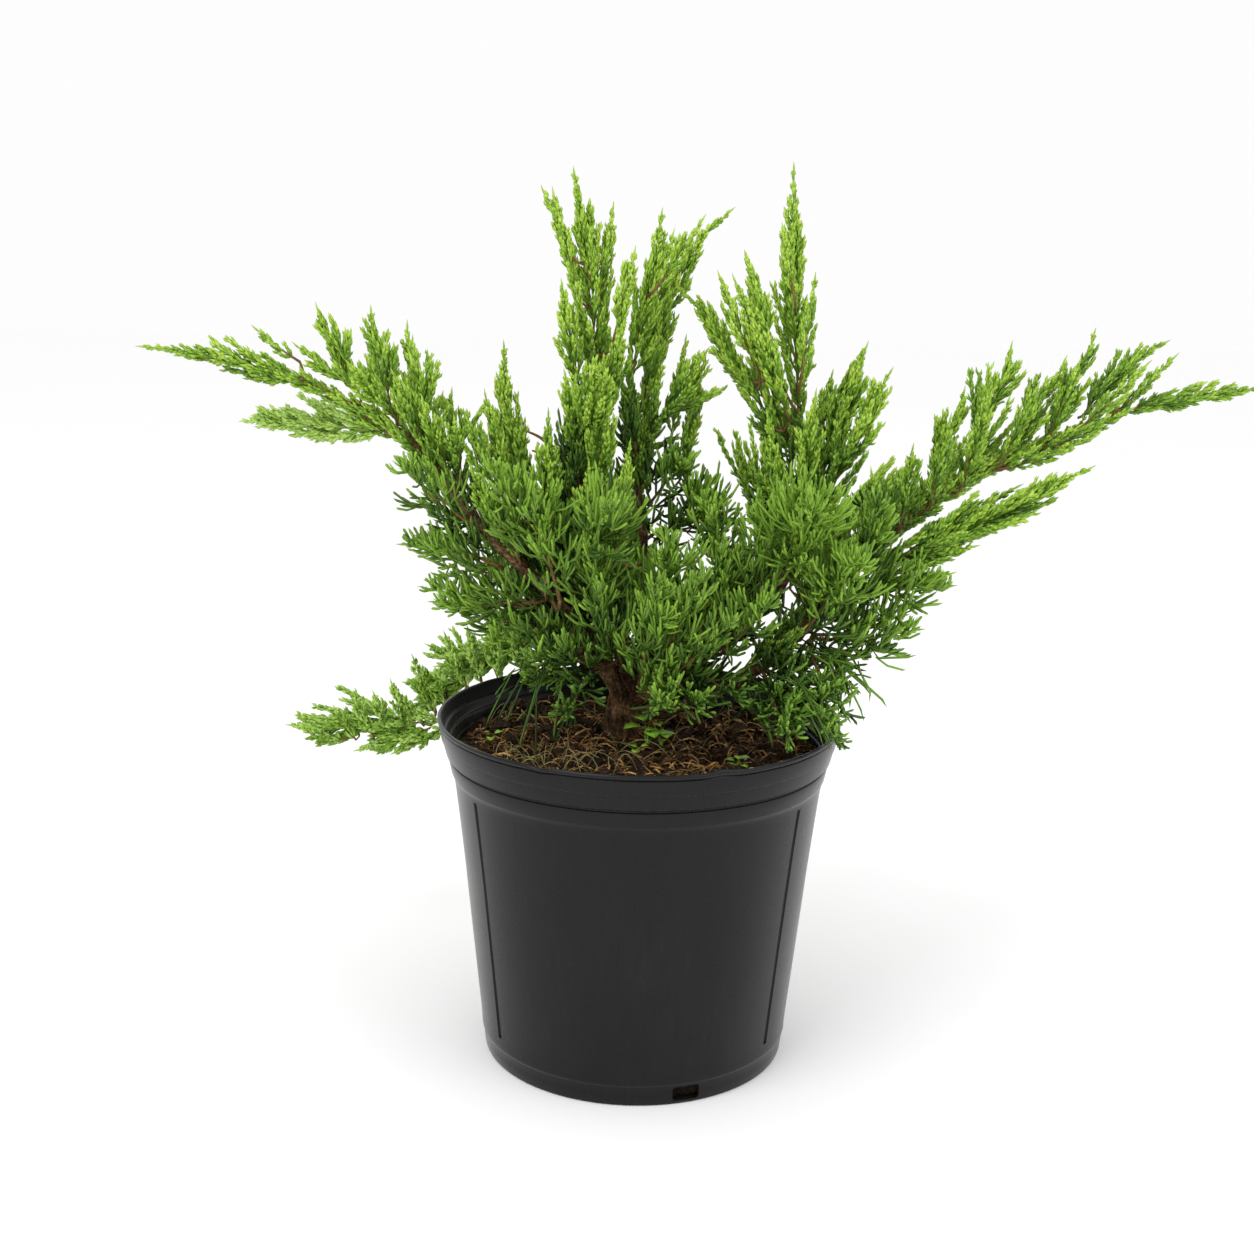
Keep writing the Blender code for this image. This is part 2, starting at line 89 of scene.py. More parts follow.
def smoothPath(knots, step):
    # Catmull-Rom through the knots, a point about every step
    knots = np.array(knots, float)
    padded = np.vstack([2 * knots[0] - knots[1], knots, 2 * knots[-1] - knots[-2]])
    path = [knots[0]]
    for k in range(len(knots) - 1):
        a, b, c, d = padded[k:k + 4]
        pieces = max(1, round(float(np.linalg.norm(c - b)) / step))
        for piece in range(1, pieces + 1):
            t = piece / pieces
            path.append(0.5 * (2 * b + (c - a) * t + (2 * a - 5 * b + 4 * c - d) * t * t
                               + (3 * b - a - 3 * c + d) * t ** 3))
    return np.array(path)


def stepLengths(path):
    return np.linalg.norm(np.diff(path, axis=0), axis=1)


def lengthsAlong(path):
    return np.concatenate([[0.0], np.cumsum(stepLengths(path))])


def shareAlong(path):
    return lengthsAlong(path) / stepLengths(path).sum()


def atShare(path, shares):
    along = shareAlong(path)
    return np.stack([np.interp(shares, along, path[:, k]) for k in range(3)], axis=-1)


def aheadAt(path, shares, gap=0.02):
    return unit(atShare(path, np.minimum(np.asarray(shares) + gap, 1.0))
                - atShare(path, np.maximum(np.asarray(shares) - gap, 0.0)))


def inMetres(places):
    # tables of places are kept in millimetres
    return np.array(places, float) / 1000


# Node groups
def newGroup(name, inputs, outputs):
    group = bpy.data.node_groups.new(name, "ShaderNodeTree")
    for label, kind, value in inputs:
        socket = group.interface.new_socket(name=label, in_out="INPUT", socket_type=kind)
        socket.default_value = value
    for label, kind in outputs:
        group.interface.new_socket(name=label, in_out="OUTPUT", socket_type=kind)
    return group, group.nodes.new("NodeGroupInput"), group.nodes.new("NodeGroupOutput")


# Blotches of two sizes that every finish shares. Coarse, fine and share of fine are each finish's own
mottleShape = {
    "coarse": 60.0,
    "fine": 600.0,
    "fineShare": 0.4,
    "coarseDetail": 2.0,
    "fineDetail": 3.0,
    "darkest": 0.32,
    "lightest": 0.68,
}


def mottleGroup():
    # one mask and one height
    scale = "NodeSocketFloat"
    group, given, out = newGroup("mottle", [("Coarse", scale, mottleShape["coarse"]),
                                            ("Fine", scale, mottleShape["fine"]),
                                            ("Share of fine", scale, mottleShape["fineShare"])],
                                 [("Mask", scale), ("Height", scale)])
    coords = group.nodes.new("ShaderNodeTexCoord")
    masks = []
    for label, detail in (("Coarse", mottleShape["coarseDetail"]), ("Fine", mottleShape["fineDetail"])):
        cloud = group.nodes.new("ShaderNodeTexNoise")
        cloud.inputs["Detail"].default_value = detail
        group.links.new(coords.outputs["Object"], cloud.inputs["Vector"])
        group.links.new(given.outputs[label], cloud.inputs["Scale"])
        masks.append(cloud.outputs["Fac"])
    blend = group.nodes.new("ShaderNodeMix")
    group.links.new(given.outputs["Share of fine"], blend.inputs[0])
    group.links.new(masks[0], blend.inputs[2])
    group.links.new(masks[1], blend.inputs[3])
    spread = group.nodes.new("ShaderNodeMapRange")
    spread.inputs["From Min"].default_value = mottleShape["darkest"]
    spread.inputs["From Max"].default_value = mottleShape["lightest"]
    group.links.new(blend.outputs[0], spread.inputs["Value"])
    group.links.new(spread.outputs["Result"], out.inputs["Mask"])
    group.links.new(masks[1], out.inputs["Height"])
    return group


mottle = mottleGroup()


def placeMottle(tree, coarse, fine, share):
    node = tree.nodes.new("ShaderNodeGroup")
    node.node_tree = mottle
    node.inputs["Coarse"].default_value = coarse
    node.inputs["Fine"].default_value = fine
    node.inputs["Share of fine"].default_value = share
    return node


def newMaterial(name):
    material = bpy.data.materials.new(name)
    material.use_nodes = True
    return material, material.node_tree, material.node_tree.nodes["Principled BSDF"]


def ramp(tree, source, stops):
    node = tree.nodes.new("ShaderNodeValToRGB")
    elements = node.color_ramp.elements
    while len(elements) > 1:
        elements.remove(elements[-1])
    elements[0].position = stops[0][0]
    elements[0].color = (*stops[0][1], 1.0)
    for place, colour in stops[1:]:
        elements.new(place).color = (*colour, 1.0)
    tree.links.new(source, node.inputs["Fac"])
    return node.outputs["Color"]


def valueRange(tree, source, low, high):
    node = tree.nodes.new("ShaderNodeMapRange")
    node.inputs["To Min"].default_value = low
    node.inputs["To Max"].default_value = high
    tree.links.new(source, node.inputs["Value"])
    return node.outputs["Result"]


def addBump(tree, shader, source, strength, distance):
    bump = tree.nodes.new("ShaderNodeBump")
    bump.inputs["Strength"].default_value = strength
    bump.inputs["Distance"].default_value = distance
    tree.links.new(source, bump.inputs["Height"])
    tree.links.new(bump.outputs["Normal"], shader.inputs["Normal"])


def scaled(colour, by):
    return tuple(min(1.0, c * by) for c in colour)


def mottledMaterial(name, colours, look):
    # colours are dark, middle and light; look has both roughnesses, coarse, fine and share, bump and specular
    material, tree, shader = newMaterial(name)
    patches = placeMottle(tree, *look["mottle"])
    colour = ramp(tree, patches.outputs["Mask"], tuple(zip((0.0, 0.5, 1.0), colours)))
    tree.links.new(colour, shader.inputs["Base Color"])
    rough = valueRange(tree, patches.outputs["Mask"], *look["roughness"])
    tree.links.new(rough, shader.inputs["Roughness"])
    shader.inputs["Specular IOR Level"].default_value = look["specular"]
    addBump(tree, shader, patches.outputs["Height"], *look["bump"])
    return material


# Studio: camera at the picture's own angle, pale floor, soft light all round
studio = {
    "cameraPlace": (0.0, -1.193, 0.585),
    "lens": 51.21,
    "pitchDown": 13.25,
    "yaw": -0.45,
    "roll": 1.04,
    "sensor": 36.0,
    "pictureSide": 1254,
    "nearClip": 0.01,
    "skyLight": 0.985,
    "lamps": {"key": {"place": (-0.9, -1.1, 1.9), "size": 1.2, "power": 15.0},
              "fill": {"place": (1.3, -0.9, 1.2), "size": 1.2, "power": 6.0}},
    "lampAim": (0.0, 0.0, 0.3),
    "floorSide": 14.0,
    "floorColour": (0.995, 0.995, 0.995),
    "floorShade": 0.995,
    "floorMottle": (1.5, 30.0, 0.2),
    "floorRoughness": 0.8,
    "floorSpecular": 0.1,
}


def cameraAxes():
    # what lies across, upward and ahead in the picture
    pitch, yaw, roll = (math.radians(studio[k]) for k in ("pitchDown", "yaw", "roll"))
    ahead = Vector((math.sin(yaw) * math.cos(pitch), math.cos(yaw) * math.cos(pitch), -math.sin(pitch)))
    right = Vector((math.cos(yaw), -math.sin(yaw), 0.0))
    up = right.cross(ahead)
    across = right * math.cos(roll) + up * math.sin(roll)
    upward = -right * math.sin(roll) + up * math.cos(roll)
    return across, upward, ahead


def fromPicture(across, down, depth):
    # the place, at this depth behind the middle of the pot, that shows at this pixel of the picture
    focal = studio["lens"] / studio["sensor"] * studio["pictureSide"]
    middle = studio["pictureSide"] / 2
    sideways, upward, ahead = (np.array(axis) for axis in cameraAxes())
    ray = ahead + sideways * (across - middle) / focal - upward * (down - middle) / focal
    start = np.array(studio["cameraPlace"])
    return start + ray * (depth / 1000 - start[1]) / ray[1]


def makeStudio():
    scene = bpy.context.scene
    camera = bpy.data.objects.new("camera", bpy.data.cameras.new("camera"))
    scene.collection.objects.link(camera)
    camera.data.lens = studio["lens"]
    camera.data.sensor_width = studio["sensor"]
    camera.data.clip_start = studio["nearClip"]
    across, upward, ahead = cameraAxes()
    turn = Matrix((across, upward, -ahead)).transposed()
    camera.matrix_world = Matrix.Translation(studio["cameraPlace"]) @ turn.to_4x4()
    scene.camera = camera

    world = bpy.data.worlds.new("studio")
    scene.world = world
    world.use_nodes = True
    sky = world.node_tree.nodes["Background"]
    sky.inputs["Color"].default_value = (1.0, 1.0, 1.0, 1.0)
    sky.inputs["Strength"].default_value = studio["skyLight"]

    for name, lampShape in studio["lamps"].items():
        lamp = bpy.data.objects.new(name, bpy.data.lights.new(name, "AREA"))
        scene.collection.objects.link(lamp)
        lamp.data.size = lampShape["size"]
        lamp.data.energy = lampShape["power"]
        lamp.location = lampShape["place"]
        towards = Vector(studio["lampAim"]) - Vector(lampShape["place"])
        lamp.rotation_euler = towards.to_track_quat("-Z", "Y").to_euler()

    deselectAll()
    bpy.ops.mesh.primitive_plane_add(size=studio["floorSide"], location=(0.0, 0.0, 0.0))
    floor = bpy.context.object
    floor.name = "floor"
    material, tree, shader = newMaterial("studioFloor")
    patches = placeMottle(tree, *studio["floorMottle"])
    pale = studio["floorColour"]
    colour = ramp(tree, patches.outputs["Mask"], ((0.0, scaled(pale, studio["floorShade"])), (1.0, pale)))
    tree.links.new(colour, shader.inputs["Base Color"])
    shader.inputs["Roughness"].default_value = studio["floorRoughness"]
    shader.inputs["Specular IOR Level"].default_value = studio["floorSpecular"]
    setMaterial(floor, material)
    scene.view_settings.view_transform = "Standard"
    print("studio ready")


# Pot: one ring drawn out along the wall's profile, then notched and fluted
potShape = {
    "columns": 192,
    "profile": ((0.030, 0.0030), (0.070, 0.0026), (0.0960, 0.0016), (0.0985, 0.0), (0.1045, 0.0),
                (0.1056, 0.0006), (0.1063, 0.0022), (0.1070, 0.0080), (0.1077, 0.0142), (0.1081, 0.0152),
                (0.1084, 0.0157), (0.1086, 0.0166), (0.1087, 0.0200), (0.1096, 0.0300), (0.1128, 0.0610),
                (0.1166, 0.0980),
                (0.1206, 0.1370), (0.1246, 0.1720), (0.1268, 0.1900), (0.1276, 0.1960), (0.1284, 0.2005),
                (0.1291, 0.2030), (0.1298, 0.2039), (0.1303, 0.2052), (0.1313, 0.2100), (0.1321, 0.2138),
                (0.1320, 0.2147), (0.1313, 0.2153), (0.1312, 0.2163), (0.1319, 0.2170), (0.1338, 0.2178),
                (0.1348, 0.2215), (0.1361, 0.2268), (0.1362, 0.2274), (0.1368, 0.2279), (0.1374, 0.2300),
                (0.1384, 0.2366), (0.1384, 0.2378), (0.1377, 0.2386), (0.1378, 0.2392), (0.1391, 0.2395),
                (0.1396, 0.2401), (0.1397, 0.2412), (0.1392, 0.2420), (0.1384, 0.2422), (0.1375, 0.2420),
                (0.1367, 0.2412), (0.1363, 0.2380), (0.1354, 0.2334), (0.1347, 0.2326), (0.1334, 0.2322),
                (0.1330, 0.2312), (0.1324, 0.2272), (0.1318, 0.2262), (0.1304, 0.2257), (0.1299, 0.2248),
                (0.1294, 0.2200), (0.1288, 0.2190), (0.1276, 0.2186), (0.1270, 0.2120), (0.1248, 0.1930),
                (0.1130, 0.0800), (0.1042, 0.0040), (0.1030, 0.0028), (0.0600, 0.0046), (0.0300, 0.0050)),
    "wallLow": (0.1096, 0.0300),
    "wallHigh": (0.1272, 0.1935),
    "notchAngles": (-70.0, 50.0, 170.0),
    "notchSize": (0.016, 0.019, 0.0105),
    "notchAway": 0.1055,
    "notchHeight": 0.0079,
    "notchBevel": 0.0022,
    "notchRagged": 0.0006,
    "fluteAngles": (-147.0, -33.0, 33.0, 147.0),
    "fluteWidth": 0.0046,
    "fluteSides": 12,
    "fluteOut": 0.0006,
    "fluteLow": 0.024,
    "fluteHigh": 0.1990,
    "outOfRound": 0.0005,
    "roundFrom": 0.03,  # below this height the foot stays true
    "rimFrom": 0.236,
    "rimHeight": 0.0062,
    "rimWave": 0.0003,
    "rimBumps": ((-67.5, 0.0019, 3.4), (-116.2, -0.0016, 2.0)),  # angle, height, width in degrees
    "smoothBelow": 28.0,
}
plastic = {
    "streaks": 260.0,
    "streakStretch": 0.06,
    "streakDetail": 4.0,
    "dust": (14.0, 900.0, 0.45),
    "colours": ((0.0, (0.0045, 0.0045, 0.0047)), (0.35, (0.0066, 0.0066, 0.0068)),
                (0.8, (0.0135, 0.0133, 0.0128))),
    "roughness": (0.25, 0.40),
    "specular": 0.20,
    "sheen": 0.10,
    "sheenRoughness": 0.35,
    "bump": (0.06, 0.0004),
}


def plasticMaterial():
    # Satin black plastic, a little dusty and scuffed in fine vertical streaks
    material, tree, shader = newMaterial("blackPotPlastic")
    coords = tree.nodes.new("ShaderNodeTexCoord")
    stretch = tree.nodes.new("ShaderNodeMapping")
    stretch.inputs["Scale"].default_value = (1.0, 1.0, plastic["streakStretch"])
    tree.links.new(coords.outputs["Object"], stretch.inputs["Vector"])
    streaks = tree.nodes.new("ShaderNodeTexNoise")
    streaks.inputs["Scale"].default_value = plastic["streaks"]
    streaks.inputs["Detail"].default_value = plastic["streakDetail"]
    tree.links.new(stretch.outputs["Vector"], streaks.inputs["Vector"])
    dust = placeMottle(tree, *plastic["dust"])
    both = tree.nodes.new("ShaderNodeMath")
    both.operation = "MULTIPLY"
    tree.links.new(streaks.outputs["Fac"], both.inputs[0])
    tree.links.new(dust.outputs["Mask"], both.inputs[1])
    tree.links.new(ramp(tree, both.outputs["Value"], plastic["colours"]), shader.inputs["Base Color"])
    tree.links.new(valueRange(tree, both.outputs["Value"], *plastic["roughness"]), shader.inputs["Roughness"])
    shader.inputs["Specular IOR Level"].default_value = plastic["specular"]
    shader.inputs["Sheen Weight"].default_value = plastic["sheen"]
    shader.inputs["Sheen Roughness"].default_value = plastic["sheenRoughness"]
    addBump(tree, shader, dust.outputs["Height"], *plastic["bump"])
    return material


def cutWith(target, cutter):
    deselectAll()
    bpy.context.view_layer.objects.active = target
    target.select_set(True)
    cut = target.modifiers.new("cut", "BOOLEAN")
    cut.operation = "DIFFERENCE"
    cut.solver = "EXACT"
    cut.object = cutter
    bpy.ops.object.modifier_apply(modifier=cut.name)
    bpy.data.objects.remove(cutter, do_unlink=True)


def ringedMesh(name, profile, columns):
    # A ring of edges drawn out from place to place with extrude and resize, then capped at both ends
    deselectAll()
    first = profile[0]
    bpy.ops.mesh.primitive_circle_add(vertices=columns, radius=first[0], location=(0.0, 0.0, first[1]))
    obj = bpy.context.object
    obj.name = name
    bpy.ops.object.transform_apply(location=True, rotation=True, scale=True)
    bpy.ops.object.mode_set(mode="EDIT")
    bpy.ops.mesh.select_all(action="SELECT")
    before = first
    for radius, height in profile[1:]:
        bpy.ops.mesh.extrude_edges_move(TRANSFORM_OT_translate={"value": (0.0, 0.0, height - before[1])})
        by = radius / before[0]
        bpy.ops.transform.resize(value=(by, by, 1.0), center_override=(0.0, 0.0, height))
        before = (radius, height)
    bpy.ops.mesh.select_all(action="SELECT")
    bpy.ops.mesh.fill_holes(sides=0)
    bpy.ops.mesh.select_all(action="SELECT")
    bpy.ops.mesh.normals_make_consistent(inside=False)
    bpy.ops.object.mode_set(mode="OBJECT")
    return obj


def cutNotch(pot, angle):
    # one drain opening at the foot, its edges a little ragged
    turn = math.radians(angle)
    away = potShape["notchAway"]
    deselectAll()
    bpy.ops.mesh.primitive_cube_add(size=1.0, rotation=(0.0, 0.0, turn), location=(
        away * math.cos(turn), away * math.sin(turn), potShape["notchHeight"]))
    notch = bpy.context.object
    notch.scale = potShape["notchSize"]
    bpy.ops.object.transform_apply(location=True, rotation=True, scale=True)
    bpy.ops.object.mode_set(mode="EDIT")
    bpy.ops.mesh.select_all(action="SELECT")
    bpy.ops.mesh.bevel(offset=potShape["notchBevel"], segments=3)
    bpy.ops.object.mode_set(mode="OBJECT")
    for corner in notch.data.vertices:
        corner.co += potShape["notchRagged"] * noise.noise_vector(corner.co * 300)
    cutWith(pot, notch)


def cutFlute(pot, angle):
    # one groove down the tapered wall
    turn = math.radians(angle)
    (lowRadius, low), (highRadius, high) = potShape["wallLow"], potShape["wallHigh"]
    slope = (highRadius - lowRadius) / (high - low)
    middle = 0.5 * (potShape["fluteLow"] + potShape["fluteHigh"])
    away = lowRadius + slope * (middle - low)
    away += potShape["fluteOut"]
    deselectAll()
    bpy.ops.mesh.primitive_cylinder_add(vertices=potShape["fluteSides"], radius=potShape["fluteWidth"] / 2,
                                        depth=potShape["fluteHigh"] - potShape["fluteLow"],
                                        location=(away * math.cos(turn), away * math.sin(turn), middle),
                                        rotation=(0.0, math.atan(slope), turn))
    flute = bpy.context.object
    bpy.ops.object.transform_apply(location=True, rotation=True, scale=True)
    cutWith(pot, flute)


def roundWave(angle, waves, height):
    # soft noise that closes on itself round the pot
    turn = math.radians(angle)
    return noise.noise(Vector((waves * math.cos(turn), waves * math.sin(turn), height)))


def makePot():
    pot = ringedMesh("nursery_pot", potShape["profile"], potShape["columns"])
    for angle in potShape["notchAngles"]:
        cutNotch(pot, angle)
    for angle in potShape["fluteAngles"]:
        cutFlute(pot, angle)
    rimFrom = potShape["rimFrom"]
    for point in pot.data.vertices:
        x, y, z = point.co
        angle = math.degrees(math.atan2(y, x))
        push = potShape["outOfRound"] * roundWave(angle, 2.2, 6 * z)
        grow = 1 + push / max(0.02, math.hypot(x, y)) * min(1.0, z / potShape["roundFrom"])
        lift = 0.0
        if z > rimFrom:
            for place, height, spread in potShape["rimBumps"]:
                lift += height * math.exp(-((angle - place) / spread) ** 2)
            lift += potShape["rimWave"] * roundWave(angle, 9, 0)
        point.co = (x * grow, y * grow, z + lift * (z - rimFrom) / potShape["rimHeight"])
    setMaterial(pot, plasticMaterial())
    deselectAll()
    pot.select_set(True)
    bpy.context.view_layer.objects.active = pot
    bpy.ops.object.shade_smooth_by_angle(angle=math.radians(potShape["smoothBelow"]))
    finishPiece(pot, "pot", "pot")
    print("pot turned, fluted and notched")


def tubeFaces(rings, sides):
    # triangles of a closed tube whose last point is its tip
    faces = []
    for level in range(rings - 1):
        for k in range(sides):
            a, b = level * sides + k, level * sides + (k + 1) % sides
            faces += [(a, b, b + sides), (a, b + sides, a + sides)]
    last = (rings - 1) * sides
    faces += [(last + k, last + (k + 1) % sides, last + sides) for k in range(sides)]
    faces += [(0, k + 1, k) for k in range(1, sides - 1)]
    return np.array(faces)


# Soft tubes from arrays: every small shoot, finger, fibre and stem is one of these
def tubes(starts, bends, ends, widths, rings, seed, sides=3):
    rng = np.random.default_rng(seed)
    count = len(starts)
    refs = unit(rng.normal(size=(count, 3)) + 0.2)
    spin = rng.uniform(0, tau, count)[:, None]
    loops = []
    for t, share in rings:
        centre = (1 - t) ** 2 * starts + 2 * t * (1 - t) * bends + t * t * ends
        ahead = unit((1 - t) * (bends - starts) + t * (ends - bends) + 1e-9)
        side = unit(np.cross(ahead, refs))
        up = np.cross(ahead, side)
        for k in range(sides):
            angle = spin + tau * k / sides
            loops.append(centre + widths[:, None] * share * (np.cos(angle) * side + np.sin(angle) * up))
    loops.append(ends)
    points = np.stack(loops, axis=1).reshape(-1, 3)
    size = len(loops)
    faces = (tubeFaces(len(rings), sides)[None] + (np.arange(count) * size)[:, None, None]).reshape(-1, 3)
    return points, faces


def ringsAlong(path, lean, sides, radiusAt):
    # rings round a line: the first is turned by lean, the others follow it without twisting
    tangents = unit(np.gradient(path, axis=0))
    side = unit(np.cross(tangents[0], lean))
    points = []
    for level, (point, ahead) in enumerate(zip(path, tangents)):
        side = unit(side - ahead * float(side @ ahead))
        up = np.cross(ahead, side)
        for k in range(sides):
            angle = tau * k / sides
            points.append(point + radiusAt(level, angle) * (math.cos(angle) * side + math.sin(angle) * up))
    return points, tangents


def twigTube(path, radii, sides=5):
    points, tangents = ringsAlong(path, (0.41, 0.13, 0.87), sides, lambda level, angle: radii[level])
    points.append(path[-1] + tangents[-1] * radii[-1])
    return np.array(points), tubeFaces(len(path), sides)


def joinShapes(shapes):
    start = 0
    allPoints, allFaces = [], []
    for points, faces in shapes:
        allPoints.append(points)
        allFaces.append(faces + start)
        start += len(points)
    return np.vstack(allPoints), np.vstack(allFaces)


# Limbs: the same lines as the solids, with bark relief
limbShape = {
    # radius at the foot and at the tip, then the line, all in millimetres
    "boughs": {
        "bough_left": ((5.2, 1.6), ((-12, 24, 246), (-33, 10, 291), (-63, -8, 329), (-107, -20, 374),
                                    (-133, -24, 410), (-157, -24, 436), (-197, -24, 459))),
        "bough_centre_left": ((4.0, 1.7), ((-6, 21, 256), (-24, 0, 307), (-41, -5, 331), (-49, -6, 355),
                                           (-47, -3, 389), (-40, 2, 422), (-33, 12, 450))),
        "bough_centre": ((3.8, 1.6), ((-5, 29.5, 254), (6, 34, 301), (5, 36, 326), (-1, 34, 372),
                                      (-5, 30, 414), (-11, 26, 454))),
        "bough_right": ((5.6, 4.0), ((-8, 26, 247), (12, 20, 256), (32, 12, 268), (49, 8, 288), (70, 6, 304),
                                     (94, 6, 331))),
        "bough_right_upper": ((4.0, 1.8), ((94, 6, 331), (98, 6, 338.5), (106, 8, 354), (111, 12, 382),
                                           (111, 16, 405), (106, 20, 429))),
        "bough_far_right": ((5.2, 1.4), ((-10, 25, 232), (12, 10, 242), (42, -2, 255), (76, -10, 276),
                                         (101, -12, 297), (136, 2, 342), (184, 15, 381), (223, 25, 406),
                                         (279, 36, 432), (327, 45, 452))),
        "bough_rear_left": ((4.2, 1.8), ((-12, 30, 243), (-30, 58, 262), (-58, 94, 268), (-88, 122, 260),
                                         (-122, 144, 238), (-174, 157, 195))),
        "bough_rear": ((4.2, 1.8), ((-9, 29, 250), (-12, 58, 284), (-20, 95, 318), (-30, 140, 345),
                                    (-35, 190, 366))),
        "bough_rear_right": ((4.4, 1.8), ((-9, 29, 239), (22, 56, 262), (58, 84, 288), (94, 112, 314),
                                          (132, 142, 338))),
    },
    "pathStep": 0.004,
    "ringStep": 0.0022,
    "sides": 16,
    "relief": 0.16,
    "collar": 0.35,  # how much thicker a bough starts, and how soon that is over
    "collarFade": 14,
    "plainFoot": "bough_right_upper",
    "tipEnd": 0.5,
    "heart": (0.0, 0.01, 0.30),
    "heartRadius": 0.17,
}
trunkShape = {
    "path": ((-11, 28, 215), (-12.5, 27.5, 232), (-10.5, 27, 248), (-7.5, 27, 262)),
    "radius": 0.0100,
    "taper": 0.10,
    "topRings": (0.9, 0.68, 0.35),
    "flareRadius": 0.0178,
    "flareHeight": 0.010,
    "toes": (0.7, 2.2, 3.9, 5.1),
    "toeWidth": 0.42,
    "toeSize": (0.55, 0.65),  # between toes, and what a toe adds
    "ringStep": 0.0016,
    "sides": 44,
    "relief": 0.19,
}
barkShape = {
    # relief: strips round and along the limb, finer strips, then knots
    "stripsRound": 2.3,
    "stripsAlong": 36,
    "fineStrips": 2.7,
    "fineShare": 0.5,
    "knotsAlong": 48,
    "knotFrom": 0.15,
    "knotSize": 0.45,
    # finish
    "stretch": (26.0, 62.0, 1.0),
    "detail": 6.0,
    "roughDetail": 0.65,
    "blotches": (55.0, 420.0, 0.5),
    "blotchShare": 0.4,
    "colours": ((0.30, (0.012, 0.007, 0.004)), (0.45, (0.075, 0.038, 0.017)), (0.58, (0.230, 0.125, 0.056)),
                (0.74, (0.520, 0.350, 0.190))),
    "roughness": (0.95, 0.70),
    "specular": 0.2,
    "bump": (0.9, 0.0012),
}
limbPaths = {name: smoothPath(inMetres(knots), limbShape["pathStep"])
             for name, (_, knots) in limbShape["boughs"].items()}
limbPoints = np.vstack(list(limbPaths.values()))
heartPoints = limbPoints[np.linalg.norm(limbPoints - limbShape["heart"], axis=1) < limbShape["heartRadius"]]


def barkMaterial():
    # Stringy, flaking red-brown bark, its strips running along the limb on the piece's own map
    material, tree, shader = newMaterial("stringyBark")
    chart = tree.nodes.new("ShaderNodeUVMap")
    chart.uv_map = "alongLimb"
    stretch = tree.nodes.new("ShaderNodeMapping")
    stretch.inputs["Scale"].default_value = barkShape["stretch"]
    tree.links.new(chart.outputs["UV"], stretch.inputs["Vector"])
    strips = tree.nodes.new("ShaderNodeTexNoise")
    strips.inputs["Scale"].default_value = 1.0
    strips.inputs["Detail"].default_value = barkShape["detail"]
    strips.inputs["Roughness"].default_value = barkShape["roughDetail"]
    tree.links.new(stretch.outputs["Vector"], strips.inputs["Vector"])
    blotches = placeMottle(tree, *barkShape["blotches"])
    both = tree.nodes.new("ShaderNodeMix")
    both.inputs[0].default_value = barkShape["blotchShare"]
    tree.links.new(strips.outputs["Fac"], both.inputs[2])
    tree.links.new(blotches.outputs["Mask"], both.inputs[3])
    tree.links.new(ramp(tree, both.outputs[0], barkShape["colours"]), shader.inputs["Base Color"])
    tree.links.new(valueRange(tree, both.outputs[0], *barkShape["roughness"]), shader.inputs["Roughness"])
    shader.inputs["Specular IOR Level"].default_value = barkShape["specular"]
    addBump(tree, shader, strips.outputs["Fac"], *barkShape["bump"])
    return material


def limbMesh(name, path, radii, sides, relief, material, flare=None):
    # rings along the line, each pushed in and out by strips that wander round the limb
    seedPlace = 7.0 * abs(math.sin(sum(map(ord, name))))
    lengths = lengthsAlong(path)

    def radiusAt(level, angle):
        waves = barkShape["stripsRound"]
        around = Vector((waves * math.cos(angle), waves * math.sin(angle),
                         lengths[level] * barkShape["stripsAlong"] + seedPlace))
        fine = barkShape["fineShare"] * noise.noise(around * barkShape["fineStrips"])
        strips = noise.noise(around) + fine
        lump = noise.noise(Vector((seedPlace, 0.0, lengths[level] * barkShape["knotsAlong"])))
        knots = max(0.0, lump - barkShape["knotFrom"])
        radius = radii[level] * (1 + relief * strips + barkShape["knotSize"] * knots)
        return radius + flare(level, angle) if flare else radius

    points, _ = ringsAlong(path, (0.31, 0.17, 0.93), sides, radiusAt)
    faces, chart = [], []
    rows = len(path)
    for level in range(rows - 1):
        for k in range(sides):
            a, b = level * sides + k, level * sides + (k + 1) % sides
            faces.append((a, b, b + sides, a + sides))
            low, high = lengths[level], lengths[level + 1]
            chart += [(k / sides, low), ((k + 1) / sides, low), ((k + 1) / sides, high), (k / sides, high)]
    for ring, order in ((0, -1), (rows - 1, 1)):
        cap = [ring * sides + k for k in range(sides)][::order]
        faces.append(tuple(cap))
        chart += [(k / sides, lengths[ring]) for k in range(sides)]
    obj = meshObject(name, points, faces, material)
    layer = obj.data.uv_layers.new(name="alongLimb")
    layer.data.foreach_set("uv", np.array(chart, np.float32).ravel())
    return obj


def makeTrunk(bark):
    spec = trunkShape
    path = smoothPath(inMetres(spec["path"]), spec["ringStep"])
    foot = path[0][2]
    between, toe = spec["toeSize"]

    def flare(level, angle):
        rise = (path[level][2] - foot) / spec["flareHeight"]
        gaps = [(angle - place + math.pi) % tau - math.pi for place in spec["toes"]]
        toes = sum(math.exp(-(gap / spec["toeWidth"]) ** 2) for gap in gaps)
        return (spec["flareRadius"] - spec["radius"]) * math.exp(-rise) * (between + toe * toes)

    radii = spec["radius"] * (1 - spec["taper"] * np.linspace(0, 1, len(path)))
    radii[-3:] *= spec["topRings"]
    trunk = limbMesh("trunk_bark", path, radii, spec["sides"], spec["relief"], bark, flare)
    finishPiece(trunk, "bark", "trunk")


